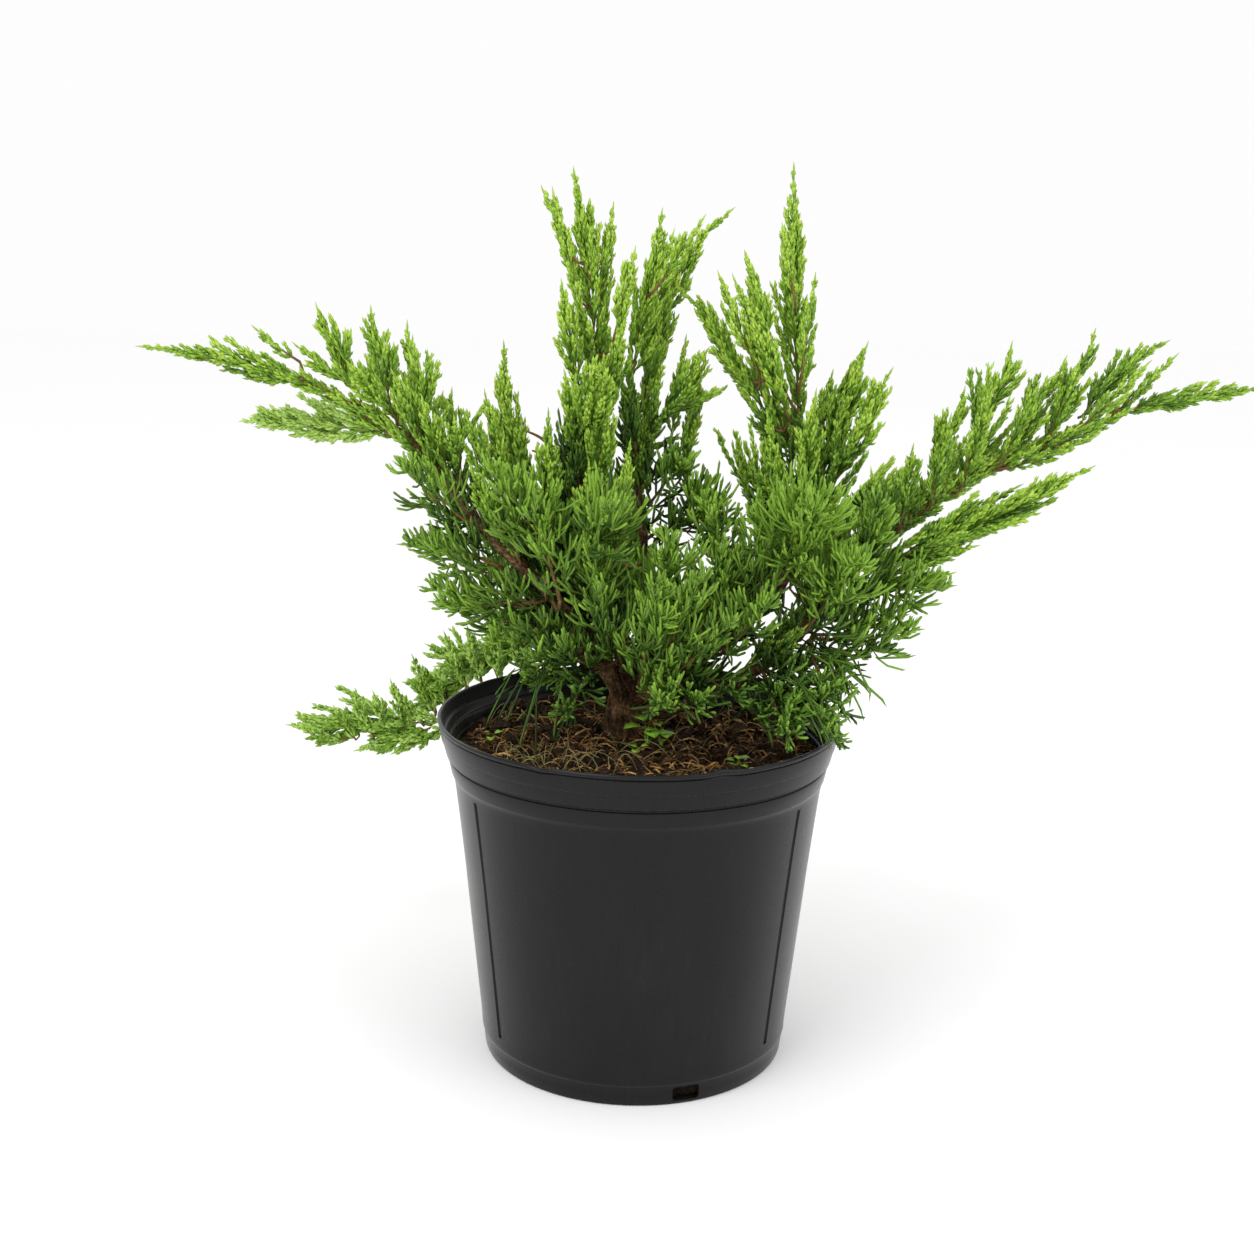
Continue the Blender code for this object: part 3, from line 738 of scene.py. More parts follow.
def makeLimbs():
    bark = barkMaterial()
    makeTrunk(bark)
    spec = limbShape
    for name, (ends, knots) in spec["boughs"].items():
        first, last = inMetres(ends)
        path = smoothPath(inMetres(knots), spec["ringStep"])
        shares = shareAlong(path)
        radii = first + (last - first) * shares
        collar = 0.0 if name == spec["plainFoot"] else spec["collar"]
        radii *= 1 + collar * np.exp(-shares * spec["collarFade"])
        radii[-1] *= spec["tipEnd"]
        bough = limbMesh(name + "_bark", path, radii, spec["sides"], spec["relief"], bark)
        finishPiece(bough, "bark", name)
    print("trunk and boughs barked")


# Foliage: every mass is a leading shoot along its solid's middle line, set with side shoots, and those with
# fingers of scale leaf
greens = {
    # tone: dark, middle and light of its mottle, in the order from the shaded heart to the sunlit tips
    "deep": ((0.018, 0.044, 0.007), (0.031, 0.071, 0.012), (0.052, 0.106, 0.019)),
    "dark": ((0.048, 0.110, 0.015), (0.080, 0.168, 0.024), (0.118, 0.228, 0.037)),
    "middle": ((0.102, 0.208, 0.024), (0.154, 0.288, 0.036), (0.212, 0.368, 0.054)),
    "fresh": ((0.168, 0.322, 0.031), (0.233, 0.418, 0.044), (0.308, 0.512, 0.066)),
    "bright": ((0.252, 0.432, 0.040), (0.338, 0.536, 0.058), (0.432, 0.638, 0.092)),
    "lime": ((0.346, 0.540, 0.058), (0.438, 0.636, 0.086), (0.528, 0.724, 0.135)),
    "pale": ((0.330, 0.530, 0.090), (0.430, 0.650, 0.130), (0.560, 0.760, 0.205)),
}
toneNames = tuple(greens)
# How a spray grows: spacing of its side shoots, their angle at foot and tip, how far they reach past the half
# width, how they turn up; spacing, length, angle and width of the fingers, their curl and turn; forks of the
# longer ones; wood of the leading shoot; tone, its gain towards the tips, its loss in the shade and its limit
plume = {
    "every": 0.0066, "perNode": 2, "angle": (28, 15), "reach": 2.40, "rise": 0.10, "longTips": False,
    "fingerEvery": 0.0033, "finger": (0.0100, 0.0056), "fingerAngle": 24, "fingerWidth": 0.00115,
    "curl": 0.6, "aside": 0.0, "twist": 1.05, "wander": 0.0,
    "forkFrom": 0.0078, "forks": ((0.30, 0.60),), "forkShare": 0.50,
    "wood": 0.45, "woodRadius": 0.0010, "stem": 0.0011,
    "tone": 3.1, "gain": 2.0, "shade": 1.2, "brightest": 5, "pale": False,
}
foliageShape = {
    "tip": plume,
    "inner": {
        **plume, "every": 0.0122, "angle": (62, 34), "reach": 1.75, "rise": 0.45, "longTips": True,
        "fingerEvery": 0.0088, "finger": (0.0300, 0.0190), "fingerAngle": 50, "fingerWidth": 0.00118,
        "curl": 0.9, "aside": 0.6, "twist": 0.0, "wander": 0.24,
        "forkFrom": 0.0110, "forks": ((0.15, 0.40), (0.40, 0.65)), "forkShare": 0.68,
        "wood": 0.62, "woodRadius": 0.0014, "stem": 0.0017,
        "tone": 1.7, "gain": 1.2, "shade": 1.7, "brightest": 3,
    },
    "pale": {
        **plume, "every": 0.0054, "angle": (34, 20), "rise": 0.12,
        "fingerEvery": 0.0029, "finger": (0.0100, 0.0054), "fingerAngle": 28, "fingerWidth": 0.00130,
        "wood": 0.15, "stem": 0.0008, "tone": 6.0, "gain": 0.0, "shade": 0.0, "pale": True,
    },
    "paleBright": 7.0,  # tones past which the pale bough turns bright, or below which it is fresh
    "paleFresh": 4.8,
    "tipRings": ((0.0, 0.62), (0.55, 1.0)),
    "fingerRings": ((0.0, 0.62), (0.45, 0.92), (0.90, 0.92)),
    "longFrom": 0.0125,
    "profile": ((0.0, 0.07, 0.19, 0.35, 0.53, 0.71, 0.88, 1.0), (0.0, 0.5, 0.85, 1.0, 0.92, 0.70, 0.38, 0.0)),
    "lineStep": 0.006,
    "lowShade": 0.9,  # how much darker low down, where that starts and over what height
    "lowFrom": 0.300,
    "lowDepth": 0.05,
    "lightHalf": 0.6,
    "leadWidth": 0.00095,
    "budWidth": 0.00085,
    "rosette": {"node": "foliage_right_front", "tone": 1.3},
    "shortened": {"foliage_centre_side_low": 0.50, "foliage_right_inner": 0.55,
                  "foliage_far_right_inner": 0.50, "foliage_hollow_left": 0.65,
                  "foliage_left_low_fringe": 0.85},
    "toneOf": {("left", "tip"): -0.25, ("left", "inner"): 0.50, ("far_right", "tip"): -0.45,
               ("centre", "tip"): 0.15},
    "seed": 71,
    "handSeed": 400,
    "boughSeed": 2000,
    "shootSeed": 3100,
    "hangingSeed": 77,
    "hangingClear": 0.0035,
    "look": {"roughness": (0.58, 0.46), "mottle": (90.0, 1500.0, 0.55), "bump": (0.25, 0.0004),
             "specular": 0.20},
    "slots": {"deep": "foliage_inner", "dark": "foliage_inner", "pale": "foliage_pale"},
}
twigShape = {
    "colours": ((0.070, 0.036, 0.014), (0.200, 0.108, 0.042), (0.340, 0.220, 0.095)),
    "look": {"roughness": (0.85, 0.65), "mottle": (120.0, 1200.0, 0.5), "bump": (0.4, 0.0004),
             "specular": 0.2},
    "end": 0.0006,
    "deadEnd": 0.0007,
}
boughRegions = {"bough_left": "left", "bough_centre_left": "centre", "bough_centre": "centre",
                "bough_right": "right", "bough_right_upper": "right", "bough_far_right": "far_right",
                "bough_rear_left": "rear", "bough_rear": "rear", "bough_rear_right": "rear"}
# Sprays dealt out along the boughs, to front and back: from, to, spacing, length at both ends, half width
# and kind
boughSprays = {
    "bough_left": (0.10, 0.62, 0.016, (0.055, 0.036), 0.014, "inner"),
    "bough_centre_left": (0.22, 0.95, 0.017, (0.050, 0.040), 0.014, "inner"),
    "bough_centre": (0.66, 0.95, 0.020, (0.046, 0.040), 0.013, "inner"),
    "bough_right": (0.40, 0.95, 0.022, (0.048, 0.046), 0.014, "inner"),
    "bough_right_upper": (0.05, 0.95, 0.018, (0.048, 0.040), 0.014, "tip"),
    "bough_far_right": (0.22, 0.88, 0.017, (0.048, 0.028), 0.011, "tip"),
    "bough_rear_left": (0.10, 0.92, 0.016, (0.038, 0.030), 0.012, "pale"),
    "bough_rear": (0.14, 0.95, 0.012, (0.055, 0.040), 0.015, "tip"),
    "bough_rear_right": (0.14, 0.95, 0.012, (0.055, 0.040), 0.015, "tip"),
}
# Side shoots straight on the outer wood: from, to, half width at both ends, kind
boughShoots = {
    "bough_left": (0.66, 1.0, (0.016, 0.008), "tip"),
    "bough_centre_left": (0.50, 1.0, (0.015, 0.010), "tip"),
    "bough_centre": (0.68, 1.0, (0.012, 0.010), "tip"),
    "bough_right_upper": (0.20, 1.0, (0.015, 0.010), "tip"),
    "bough_far_right": (0.36, 1.0, (0.013, 0.007), "tip"),
    "bough_rear_left": (0.24, 1.0, (0.012, 0.010), "pale"),
    "bough_rear": (0.30, 1.0, (0.017, 0.012), "tip"),
    "bough_rear_right": (0.30, 1.0, (0.017, 0.012), "tip"),
}
# Sprays set against the picture. Foot and tip are each across and down in its pixels and depth in
# millimetres behind the middle of the pot, then come the half width in millimetres and the kind of growth
handSprays = {
    "left": (
        ((501, 505, -30), (469, 425, -35), 13, "tip"),
        ((515, 520, -10), (487, 401, -10), 12, "tip"),
        ((545, 591, -30), (548, 420, -30), 15, "tip"),
        ((560, 600, -50), (535, 501, -70), 15, "inner"),
        ((520, 561, -30), (472, 470, -50), 13, "tip"),
        ((500, 544, 0), (430, 499, 0), 12, "inner"),
        ((530, 590, 0), (424, 540, 10), 13, "inner"),
        ((546, 609, 10), (429, 589, 20), 12, "inner"),
        ((560, 630, 20), (450, 608, 30), 12, "inner"),
        ((574, 639, -10), (490, 640, -30), 14, "inner"),
        ((592, 650, -10), (528, 658, -50), 11, "inner"),
        ((591, 640, 60), (500, 561, 100), 17, "inner"),
        ((451, 479, -20), (424, 404, -45), 12, "tip"),
        ((429, 450, -20), (395, 378, -50), 11, "tip"),
        ((400, 420, -20), (352, 368, -50), 10, "tip"),
        ((430, 440, 0), (441, 399, 30), 10, "tip"),
        ((380, 399, -20), (332, 344, 10), 10, "tip"),
        ((350, 385, -20), (302, 350, -30), 8, "tip"),
        ((462, 480, -20), (455, 425, -45), 10, "tip"),
        ((575, 649, 30), (500, 619, 50), 14, "inner"),
        ((300, 362, -25), (261, 333, -20), 7, "tip"),
        ((385, 410, -20), (373, 329, 30), 10, "tip"),
        ((415, 424, -20), (413, 345, 20), 10, "tip"),
        ((400, 440, -20), (338, 402, -20), 9, "tip"),
        ((372, 420, -20), (300, 376, -22), 8, "tip"),
        ((340, 396, -25), (268, 364, -22), 6, "tip"),
    ),
    "centre": (
        ((593, 668, -20), (562, 718, -60), 6, "inner"),
        ((735, 600, -20), (705, 500, -30), 12, "inner"),
        ((671, 439, 30), (685, 346, 30), 10, "tip"),
        ((575, 261, 0), (546, 197, 0), 7, "tip"),
        ((655, 290, 0), (699, 225, 0), 9, "tip"),
        ((592, 610, -20), (589, 471, -50), 15, "tip"),
        ((606, 590, -20), (629, 450, -45), 13, "tip"),
        ((586, 480, 0), (566, 380, -20), 14, "tip"),
        ((581, 400, 0), (563, 291, -10), 12, "tip"),
        ((580, 300, 0), (555, 199, 0), 9, "tip"),
        ((590, 280, 5), (576, 190, 5), 8, "tip"),
        ((600, 420, 0), (622, 330, -20), 13, "tip"),
        ((610, 351, 0), (633, 258, -10), 11, "tip"),
        ((600, 301, 10), (612, 214, 10), 9, "tip"),
        ((640, 499, 30), (650, 381, 30), 14, "tip"),
        ((645, 400, 30), (655, 300, 30), 12, "tip"),
        ((619, 560, 50), (600, 450, 90), 16, "inner"),
        ((609, 639, -20), (585, 540, -60), 14, "inner"),
        ((625, 670, -20), (599, 589, -70), 14, "inner"),
        ((639, 685, -40), (662, 580, -90), 15, "inner"),
        ((649, 682, -40), (702, 575, -90), 14, "inner"),
        ((654, 688, -40), (732, 622, -90), 13, "inner"),
        ((645, 690, -50), (668, 706, -80), 9, "inner"),
        ((668, 668, -35), (700, 708, -75), 12, "inner"),
        ((690, 665, -30), (742, 699, -62), 12, "inner"),
        ((690, 655, -20), (728, 575, -50), 12, "inner"),
        ((730, 572, 10), (672, 450, 15), 13, "inner"),
        ((680, 480, 30), (699, 370, 30), 13, "tip"),
        ((600, 501, -10), (599, 390, -40), 14, "tip"),
        ((605, 670, -10), (560, 650, -50), 13, "inner"),
        ((650, 330, 30), (672, 240, 30), 10, "tip"),
    ),
    "right": (
        ((799, 689, -40), (839, 743, -85), 6, "inner"),
        ((813, 660, -30), (845, 714, -60), 7, "inner"),
        ((769, 690, -40), (791, 740, -85), 6, "inner"),
        ((700, 600, 20), (732, 559, 20), 7, "inner"),
        ((760, 375, 0), (722, 282, 0), 10, "tip"),
        ((776, 360, 0), (749, 264, 0), 10, "tip"),
        ((812, 440, 20), (861, 356, 20), 10, "tip"),
        ((759, 621, -20), (761, 500, -50), 12, "inner"),
        ((790, 589, -20), (800, 480, -60), 14, "tip"),
        ((800, 600, -20), (838, 499, -60), 14, "tip"),
        ((800, 640, -20), (851, 559, -70), 15, "inner"),
        ((790, 560, 0), (768, 421, -20), 14, "tip"),
        ((799, 520, 0), (815, 400, -20), 13, "tip"),
        ((814, 519, 20), (847, 400, 20), 13, "tip"),
        ((790, 421, 0), (758, 330, -10), 12, "tip"),
        ((789, 399, 0), (737, 285, 0), 12, "tip"),
        ((801, 380, 0), (814, 285, 0), 9, "tip"),
        ((795, 300, 10), (784, 235, 10), 7, "tip"),
        ((830, 600, -20), (882, 521, -50), 14, "inner"),
        ((851, 600, -10), (925, 566, -30), 12, "tip"),
        ((830, 640, -10), (906, 613, -40), 12, "inner"),
        ((810, 660, 0), (885, 648, -30), 11, "inner"),
        ((780, 670, -20), (831, 699, -60), 13, "inner"),
        ((761, 670, -20), (799, 718, -70), 12, "inner"),
        ((746, 681, -20), (765, 721, -60), 10, "inner"),
        ((780, 640, 50), (831, 560, 100), 16, "inner"),
        ((720, 655, -30), (770, 601, -80), 13, "inner"),
        ((811, 469, 10), (831, 380, 40), 12, "tip"),
    ),
    "far_right": (
        ((1075, 432, 35), (1143, 369, 35), 9, "tip"),
        ((1109, 418, 40), (1170, 362, 40), 7, "tip"),
        ((880, 544, -10), (872, 478, -20), 10, "tip"),
        ((900, 530, 0), (912, 455, 0), 11, "tip"),
        ((931, 505, 0), (949, 425, 0), 11, "tip"),
        ((960, 490, 10), (989, 400, 0), 10, "tip"),
        ((1000, 465, 20), (1035, 392, 20), 10, "tip"),
        ((1045, 445, 30), (1077, 368, 30), 9, "tip"),
        ((900, 559, -10), (984, 523, -20), 11, "tip"),
        ((940, 535, -10), (1031, 507, -20), 10, "tip"),
        ((870, 589, -10), (945, 575, -20), 11, "tip"),
        ((1000, 470, 20), (1087, 440, 20), 8, "tip"),
        ((1040, 452, 30), (1126, 412, 30), 8, "tip"),
        ((885, 562, -10), (968, 548, -20), 10, "tip"),
        ((915, 535, -10), (1012, 490, -15), 9, "tip"),
        ((921, 520, 20), (965, 440, 60), 11, "tip"),
        ((980, 480, 30), (1040, 410, 60), 10, "tip"),
        ((850, 580, -20), (880, 500, -60), 12, "inner"),
    ),
    "rear": (
        ((345, 740, 152), (301, 728, 150), 6, "pale"),
        ((356, 740, 152), (338, 713, 148), 7, "pale"),
        ((374, 738, 150), (357, 701, 145), 8, "pale"),
        ((392, 735, 148), (376, 699, 142), 8, "pale"),
        ((408, 730, 146), (393, 687, 140), 9, "pale"),
        ((424, 726, 143), (404, 700, 140), 9, "pale"),
        ((436, 715, 140), (415, 663, 132), 9, "pale"),
        ((446, 704, 138), (433, 690, 134), 8, "pale"),
        ((468, 690, 132), (447, 640, 122), 8, "pale"),
        ((482, 684, 130), (469, 634, 120), 8, "pale"),
        ((505, 690, 124), (489, 622, 115), 9, "pale"),
        ((444, 722, 138), (410, 711, 144), 9, "pale"),
        ((444, 733, 136), (412, 740, 146), 9, "pale"),
        ((430, 728, 140), (362, 749, 150), 10, "pale"),
        ((445, 726, 135), (398, 751, 145), 9, "pale"),
        ((420, 722, 143), (366, 728, 150), 9, "pale"),
        ((535, 690, 100), (513, 640, 105), 10, "pale"),
        ((548, 680, 90), (562, 628, 95), 11, "pale"),
    ),
}


# Bare dead twigs that show on the left of the tall plumes: line in millimetres, and radius
deadTwigs = (
    (((-40, 4, 413), (-52, 0, 423.5), (-60, -4, 427), (-70, -6, 434.5), (-79, -6, 438.5)), 0.0024),
    (((-56, -2, 425), (-62, -6, 421.5), (-68, -8, 423.5), (-74.5, -8, 425.5)), 0.0018),
)
# Long fine fingers that hang into the pot: foot, tip, spread, how many, width, tone
hangingFingers = (
    ((-0.048, -0.016, 0.290), (-0.068, -0.060, 0.228), 0.016, 3, 0.00080, 0.5),
    ((-0.040, -0.024, 0.280), (-0.060, -0.056, 0.232), 0.014, 2, 0.00080, 0.4),
    ((-0.066, 0.000, 0.285), (-0.092, -0.032, 0.234), 0.016, 3, 0.00080, 0.5),
    ((0.094, -0.024, 0.290), (0.128, -0.070, 0.246), 0.016, 10, 0.00105, 1.6),
    ((0.104, -0.018, 0.300), (0.142, -0.052, 0.264), 0.016, 10, 0.00105, 1.8),
    ((0.070, -0.026, 0.280), (0.100, -0.068, 0.240), 0.018, 9, 0.00100, 1.2),
)


def massLine(node):
    # Middle line and half widths of a solid, from the limb it leaves to its tip
    points = np.array([v.co[:] for v in frame["nodes"][node].data.vertices])
    middle = points.mean(axis=0)
    oneEnd = points[np.argmax(np.linalg.norm(points - middle, axis=1))]
    otherEnd = points[np.argmax(np.linalg.norm(points - oneEnd, axis=1))]
    ends = sorted((oneEnd, otherEnd), key=lambda p: np.linalg.norm(limbPoints - p, axis=1).min())
    base, tip = ends
    chord = tip - base
    length = float(np.linalg.norm(chord))
    along = (points - base) @ chord / length ** 2
    places = np.array(foliageShape["profile"][0])
    spread = 0.07
    line, widths = [], []
    for place in places:
        weights = np.exp(-((along - place) / spread) ** 2)
        centre = (weights[:, None] * points).sum(axis=0) / weights.sum()
        if place in (0.0, 1.0):
            centre = base if place == 0.0 else tip
        off = points - centre
        off -= np.outer(off @ chord / length ** 2, chord)
        width = (weights * np.linalg.norm(off, axis=1)).sum() / weights.sum()
        line.append(centre)
        widths.append(0.0 if place in (0.0, 1.0) else width)
    return smoothPath(line, foliageShape["lineStep"]), places, np.array(widths)


class Growth:
    # Everything that one region of the crown has grown so far
    def __init__(self):
        self.fingers = {tone: [] for tone in toneNames}
        self.twigs = []
        self.lines = []

    def addFingers(self, starts, bends, ends, widths, tones, long):
        for index, tone in enumerate(toneNames):
            pick = tones == index
            if pick.any():
                self.fingers[tone].append((starts[pick], bends[pick], ends[pick], widths[pick], long))


def sideVectors(ahead, angles, refs):
    side = unit(np.cross(ahead, refs))
    up = np.cross(ahead, side)
    return np.cos(angles)[:, None] * side + np.sin(angles)[:, None] * up


def toneIndex(values, style):
    # place of a tone among toneNames
    if style["pale"]:
        bright, fresh, pale = (toneNames.index(tone) for tone in ("bright", "fresh", "pale"))
        low = np.where(values < foliageShape["paleFresh"], fresh, pale)
        return np.where(values > foliageShape["paleBright"], bright, low)
    return np.clip(np.round(values), 0, style["brightest"]).astype(int)


def along(starts, bends, ends, u):
    # place and heading on a bent shoot
    u = u[:, None]
    place = (1 - u) ** 2 * starts + 2 * u * (1 - u) * bends + u * u * ends
    return place, unit((1 - u) * (bends - starts) + u * (ends - bends))


def openness(points, near=0.010, over=0.050):
    # nought against the wood at the heart of the plant, one well out in the light
    gaps = np.linalg.norm(points[:, None] - heartPoints[None], axis=2).min(axis=1)
    return np.clip((gaps - near) / over, 0.0, 1.0)


def growSideShoots(growth, line, places, widths, style, rng, toneShift):
    # side shoots up the line, with painted light on those that face the sky
    length = float(stepLengths(line).sum())
    perNode = style["perNode"]
    nodes = max(3, int(length / style["every"]))
    rows = np.repeat(np.arange(nodes), perNode)
    count = len(rows)
    shares = np.clip((rows + 0.4 + rng.uniform(-0.25, 0.25, count)) / nodes, 0.01, 0.985)
    starts = atShare(line, shares)
    ahead = aheadAt(line, shares)
    halfWidth = np.interp(shares, places, widths)
    halfAhead = np.interp(np.minimum(1.0, shares + 1.1 * halfWidth / length), places, widths)
    span = np.maximum(0.0026, 0.35 * halfWidth + 0.65 * halfAhead)
    reach = style["reach"] * span * rng.uniform(0.70, 1.15, count)
    around = rows * 1.9 + np.tile(np.arange(perNode) * tau / perNode, nodes) + rng.uniform(-0.5, 0.5, count)
    ref = unit(rng.normal(size=3) * 0.3 + (0.2, 0.9, 0.3))
    lateral = sideVectors(ahead, around, np.broadcast_to(ref, ahead.shape))
    lean = np.radians(np.interp(shares, (0, 1), style["angle"]) + rng.uniform(-6, 6, count))[:, None]
    out = np.cos(lean) * ahead + np.sin(lean) * lateral
    bends = starts + 0.5 * reach[:, None] * out
    ends = starts + reach[:, None] * unit(out + 0.40 * ahead + (0.0, 0.0, style["rise"]))
    # painted light: shoots that turn upward are lighter, as if lit from above
    paintedSkyLight = lateral[:, 2] * 0.35
    tone = style["tone"] + toneShift + paintedSkyLight + rng.uniform(-0.7, 0.7, count)
    thick = style["fingerWidth"] * np.clip(reach / 0.02, 0.6, 1.1)
    growth.addFingers(starts, bends, ends, thick, toneIndex(tone - 0.3, style), style["longTips"])
    return SimpleNamespace(starts=starts, bends=bends, ends=ends, reach=reach, around=around, lateral=lateral,
                           shares=shares, tone=tone)


def growFingers(growth, shoots, style, rng):
    # fingers up each side shoot, to both its sides
    perShoot = np.maximum(2, (shoots.reach / style["fingerEvery"]).astype(int)) * 2
    owner = np.repeat(np.arange(len(perShoot)), perShoot)
    rank = np.concatenate([np.arange(n) for n in perShoot])
    u = (rank // 2 + 0.7) / (perShoot[owner] / 2 + 0.6)
    count = len(u)
    u = np.clip(0.10 + 0.88 * u + rng.uniform(-0.02, 0.02, count), 0.0, 0.97)
    base, forward = along(shoots.starts[owner], shoots.bends[owner], shoots.ends[owner], u)
    turn = (rank % 2) * math.pi + shoots.around[owner] + rng.uniform(-0.5, 0.5, count)
    turn += (rank // 2) * style["twist"]
    side = sideVectors(forward, turn, shoots.lateral[owner] + 0.01)
    lean = np.radians(style["fingerAngle"] + rng.uniform(-8, 8, count))[:, None]
    out = np.cos(lean) * forward + np.sin(lean) * side
    longest, shortest = style["finger"]
    size = (shortest + (longest - shortest) * (1 - u) ** 0.8) * rng.uniform(0.75, 1.2, count)
    shares = shoots.shares[owner]
    size *= np.clip(shoots.reach[owner] / 0.022, 0.62, 1.1) * np.interp(shares, (0.7, 1.0), (1.0, 0.62))
    curl = style["curl"]
    skyward = curl / 0.6 * np.array([0.0, 0.0, style["rise"]])
    wander = rng.normal(0, style["wander"], (count, 3))
    bend = base + 0.5 * size[:, None] * unit(out + style["aside"] * side + wander)
    end = base + size[:, None] * unit(out + curl * forward + skyward - wander)
    lowness = np.clip((foliageShape["lowFrom"] - base[:, 2]) / foliageShape["lowDepth"], 0, 1)
    light = style["shade"] * (openness(base) - foliageShape["lightHalf"]) - foliageShape["lowShade"] * lowness
    tone = shoots.tone[owner] + light + style["gain"] * (u - 0.5) + 0.8 * (shares - 0.5)
    tone = toneIndex(tone + rng.uniform(-0.4, 0.4, count), style)
    width = style["fingerWidth"] * rng.uniform(0.85, 1.12, count)
    isLong = size > foliageShape["longFrom"]
    for pick, long in ((isLong, True), (~isLong, False)):
        growth.addFingers(base[pick], bend[pick], end[pick], width[pick], tone[pick], long)
    return SimpleNamespace(base=base, bend=bend, end=end, side=side, size=size, width=width, tone=tone)


def growForks(growth, fingers, style, rng):
    # the longer fingers fork
    fork = fingers.size > style["forkFrom"]
    count = fork.sum()
    if not count:
        return
    base, bend, end, tone = fingers.base[fork], fingers.bend[fork], fingers.end[fork], fingers.tone[fork]
    for low, high in style["forks"]:
        place, forward = along(base, bend, end, rng.uniform(low, high, count))
        aside = sideVectors(forward, rng.uniform(0, tau, count), fingers.side[fork] + 0.01)
        out = unit(forward + 0.60 * aside)
        branch = style["forkShare"] * fingers.size[fork] * rng.uniform(0.75, 1.15, count)
        forkTone = tone if style["pale"] else np.minimum(tone + rng.integers(0, 2, count), style["brightest"])
        tip = place + branch[:, None] * unit(out + 0.6 * forward + (0.0, 0.0, style["rise"]))
        growth.addFingers(place, place + 0.5 * branch[:, None] * out, tip, fingers.width[fork] * 0.92,
                          forkTone, style["longTips"])


def growLeader(growth, line, style, toneShift):
    # leading shoot: woody at its foot, green from halfway, with a small fork at the very tip
    wood = style["wood"]
    steps = np.linspace(0, wood, 7)
    growth.twigs.append((atShare(line, steps),
                         np.interp(steps, (0, wood), (style["woodRadius"], twigShape["end"]))))
    lead = atShare(line, np.linspace(0.8 * wood, 1.0, 6))
    starts, ends = lead[:-1], lead[1:]
    count = len(starts)
    tones = toneIndex(np.full(count, style["tone"] + toneShift + 0.5 * style["gain"]), style)
    growth.addFingers(starts, 0.5 * (starts + ends), ends + 0.12 * (ends - starts),
                      np.full(count, foliageShape["leadWidth"]), tones, True)
    ahead = unit(lead[-1] - lead[-2])[None]
    width = np.array([foliageShape["budWidth"]])
    for k in range(3):
        aside = sideVectors(ahead, np.array([k * 2.1]), np.array([[0.3, 0.2, 0.9]]))
        start = lead[-1] - ahead * (0.001 + 0.004 * k)
        end = start + unit(ahead + (0.26 if k else 0.0) * aside) * (0.0100 - 0.0026 * k)
        growth.addFingers(start, 0.5 * (start + end), end, width, tones[:1], False)


def growAlong(growth, line, places, widths, kind, seed, toneShift=0.0):
    # one spray of the given kind, as wide at each place of its line as widths say
    style = foliageShape[kind]
    rng = np.random.default_rng(seed)
    shoots = growSideShoots(growth, line, places, widths, style, rng, toneShift)
    fingers = growFingers(growth, shoots, style, rng)
    growForks(growth, fingers, style, rng)
    growLeader(growth, line, style, toneShift)


handHabit = {
    "sag": (0.0, 0.0, 0.03),
    "aheadLoss": 0.3,  # wood ahead of the foot counts as further off, and less so for the pale bough
    "paleAheadLoss": 0.3,
    "innerBelow": 0.385,
    "innerWithin": 0.17,
    "highFrom": 0.44,
    # painted light on high sprays and painted shade on low ones, by the height of their tips
    "paintedLightHigh": 0.35,
    "lowFrom": 0.36,
    "paintedShadeLow": -0.25,
    "toneSpread": 0.30,
    "stemFrom": 0.002,
    "stemStep": 0.008,
}


def growHandSprays(regions):
    # each starts from the nearest wood or leading shoot, so that none floats
    habit = handHabit
    places, fullness = foliageShape["profile"]
    leaders = [line for growth in regions.values() for line in growth.lines]
    wood = np.vstack([limbPoints] + leaders)
    seed = foliageShape["handSeed"]
    for region, sprays in handSprays.items():
        for foot, tip, width, kind in sprays:
            foot, tip, width = fromPicture(*foot), fromPicture(*tip), width / 1000
            reach = np.linalg.norm(tip - foot)
            aim = (tip - foot) / reach
            gaps = np.linalg.norm(wood - foot, axis=1)
            ahead = np.maximum(0.0, (wood - foot) @ aim + habit["aheadLoss"] * gaps)
            near = wood[np.argmin(gaps + ahead * (habit["paleAheadLoss"] if kind == "pale" else 1.0))]
            middle = 0.5 * (foot + tip) - np.array(habit["sag"]) * reach
            line = smoothPath((foot, middle, tip), foliageShape["lineStep"])
            if kind == "tip" and tip[2] < habit["innerBelow"] and abs(tip[0]) < habit["innerWithin"]:
                kind = "inner"
            # painted light and shade: a spray is lighter when its tip is high, darker when low
            paintedLightByHeight = (habit["paintedLightHigh"] if tip[2] > habit["highFrom"]
                        else habit["paintedShadeLow"] if tip[2] < habit["lowFrom"] else 0.0)
            shift = habit["toneSpread"] * math.sin(seed * 2.4) + paintedLightByHeight
            shift += foliageShape["toneOf"].get((region, kind), 0.0)
            growAlong(regions[region], line, places, width * np.array(fullness), kind, seed, shift)
            if np.linalg.norm(near - foot) > habit["stemFrom"]:
                bent = 0.5 * (near + foot) - 0.25 * np.linalg.norm(foot - near) * aim
                stem = smoothPath((near, bent, foot, foot + 0.1 * (tip - foot)), habit["stemStep"])
                thick = foliageShape[kind]["stem"]
                regions[region].twigs.append((stem, np.linspace(thick, 0.7 * thick, len(stem))))
            seed += 1


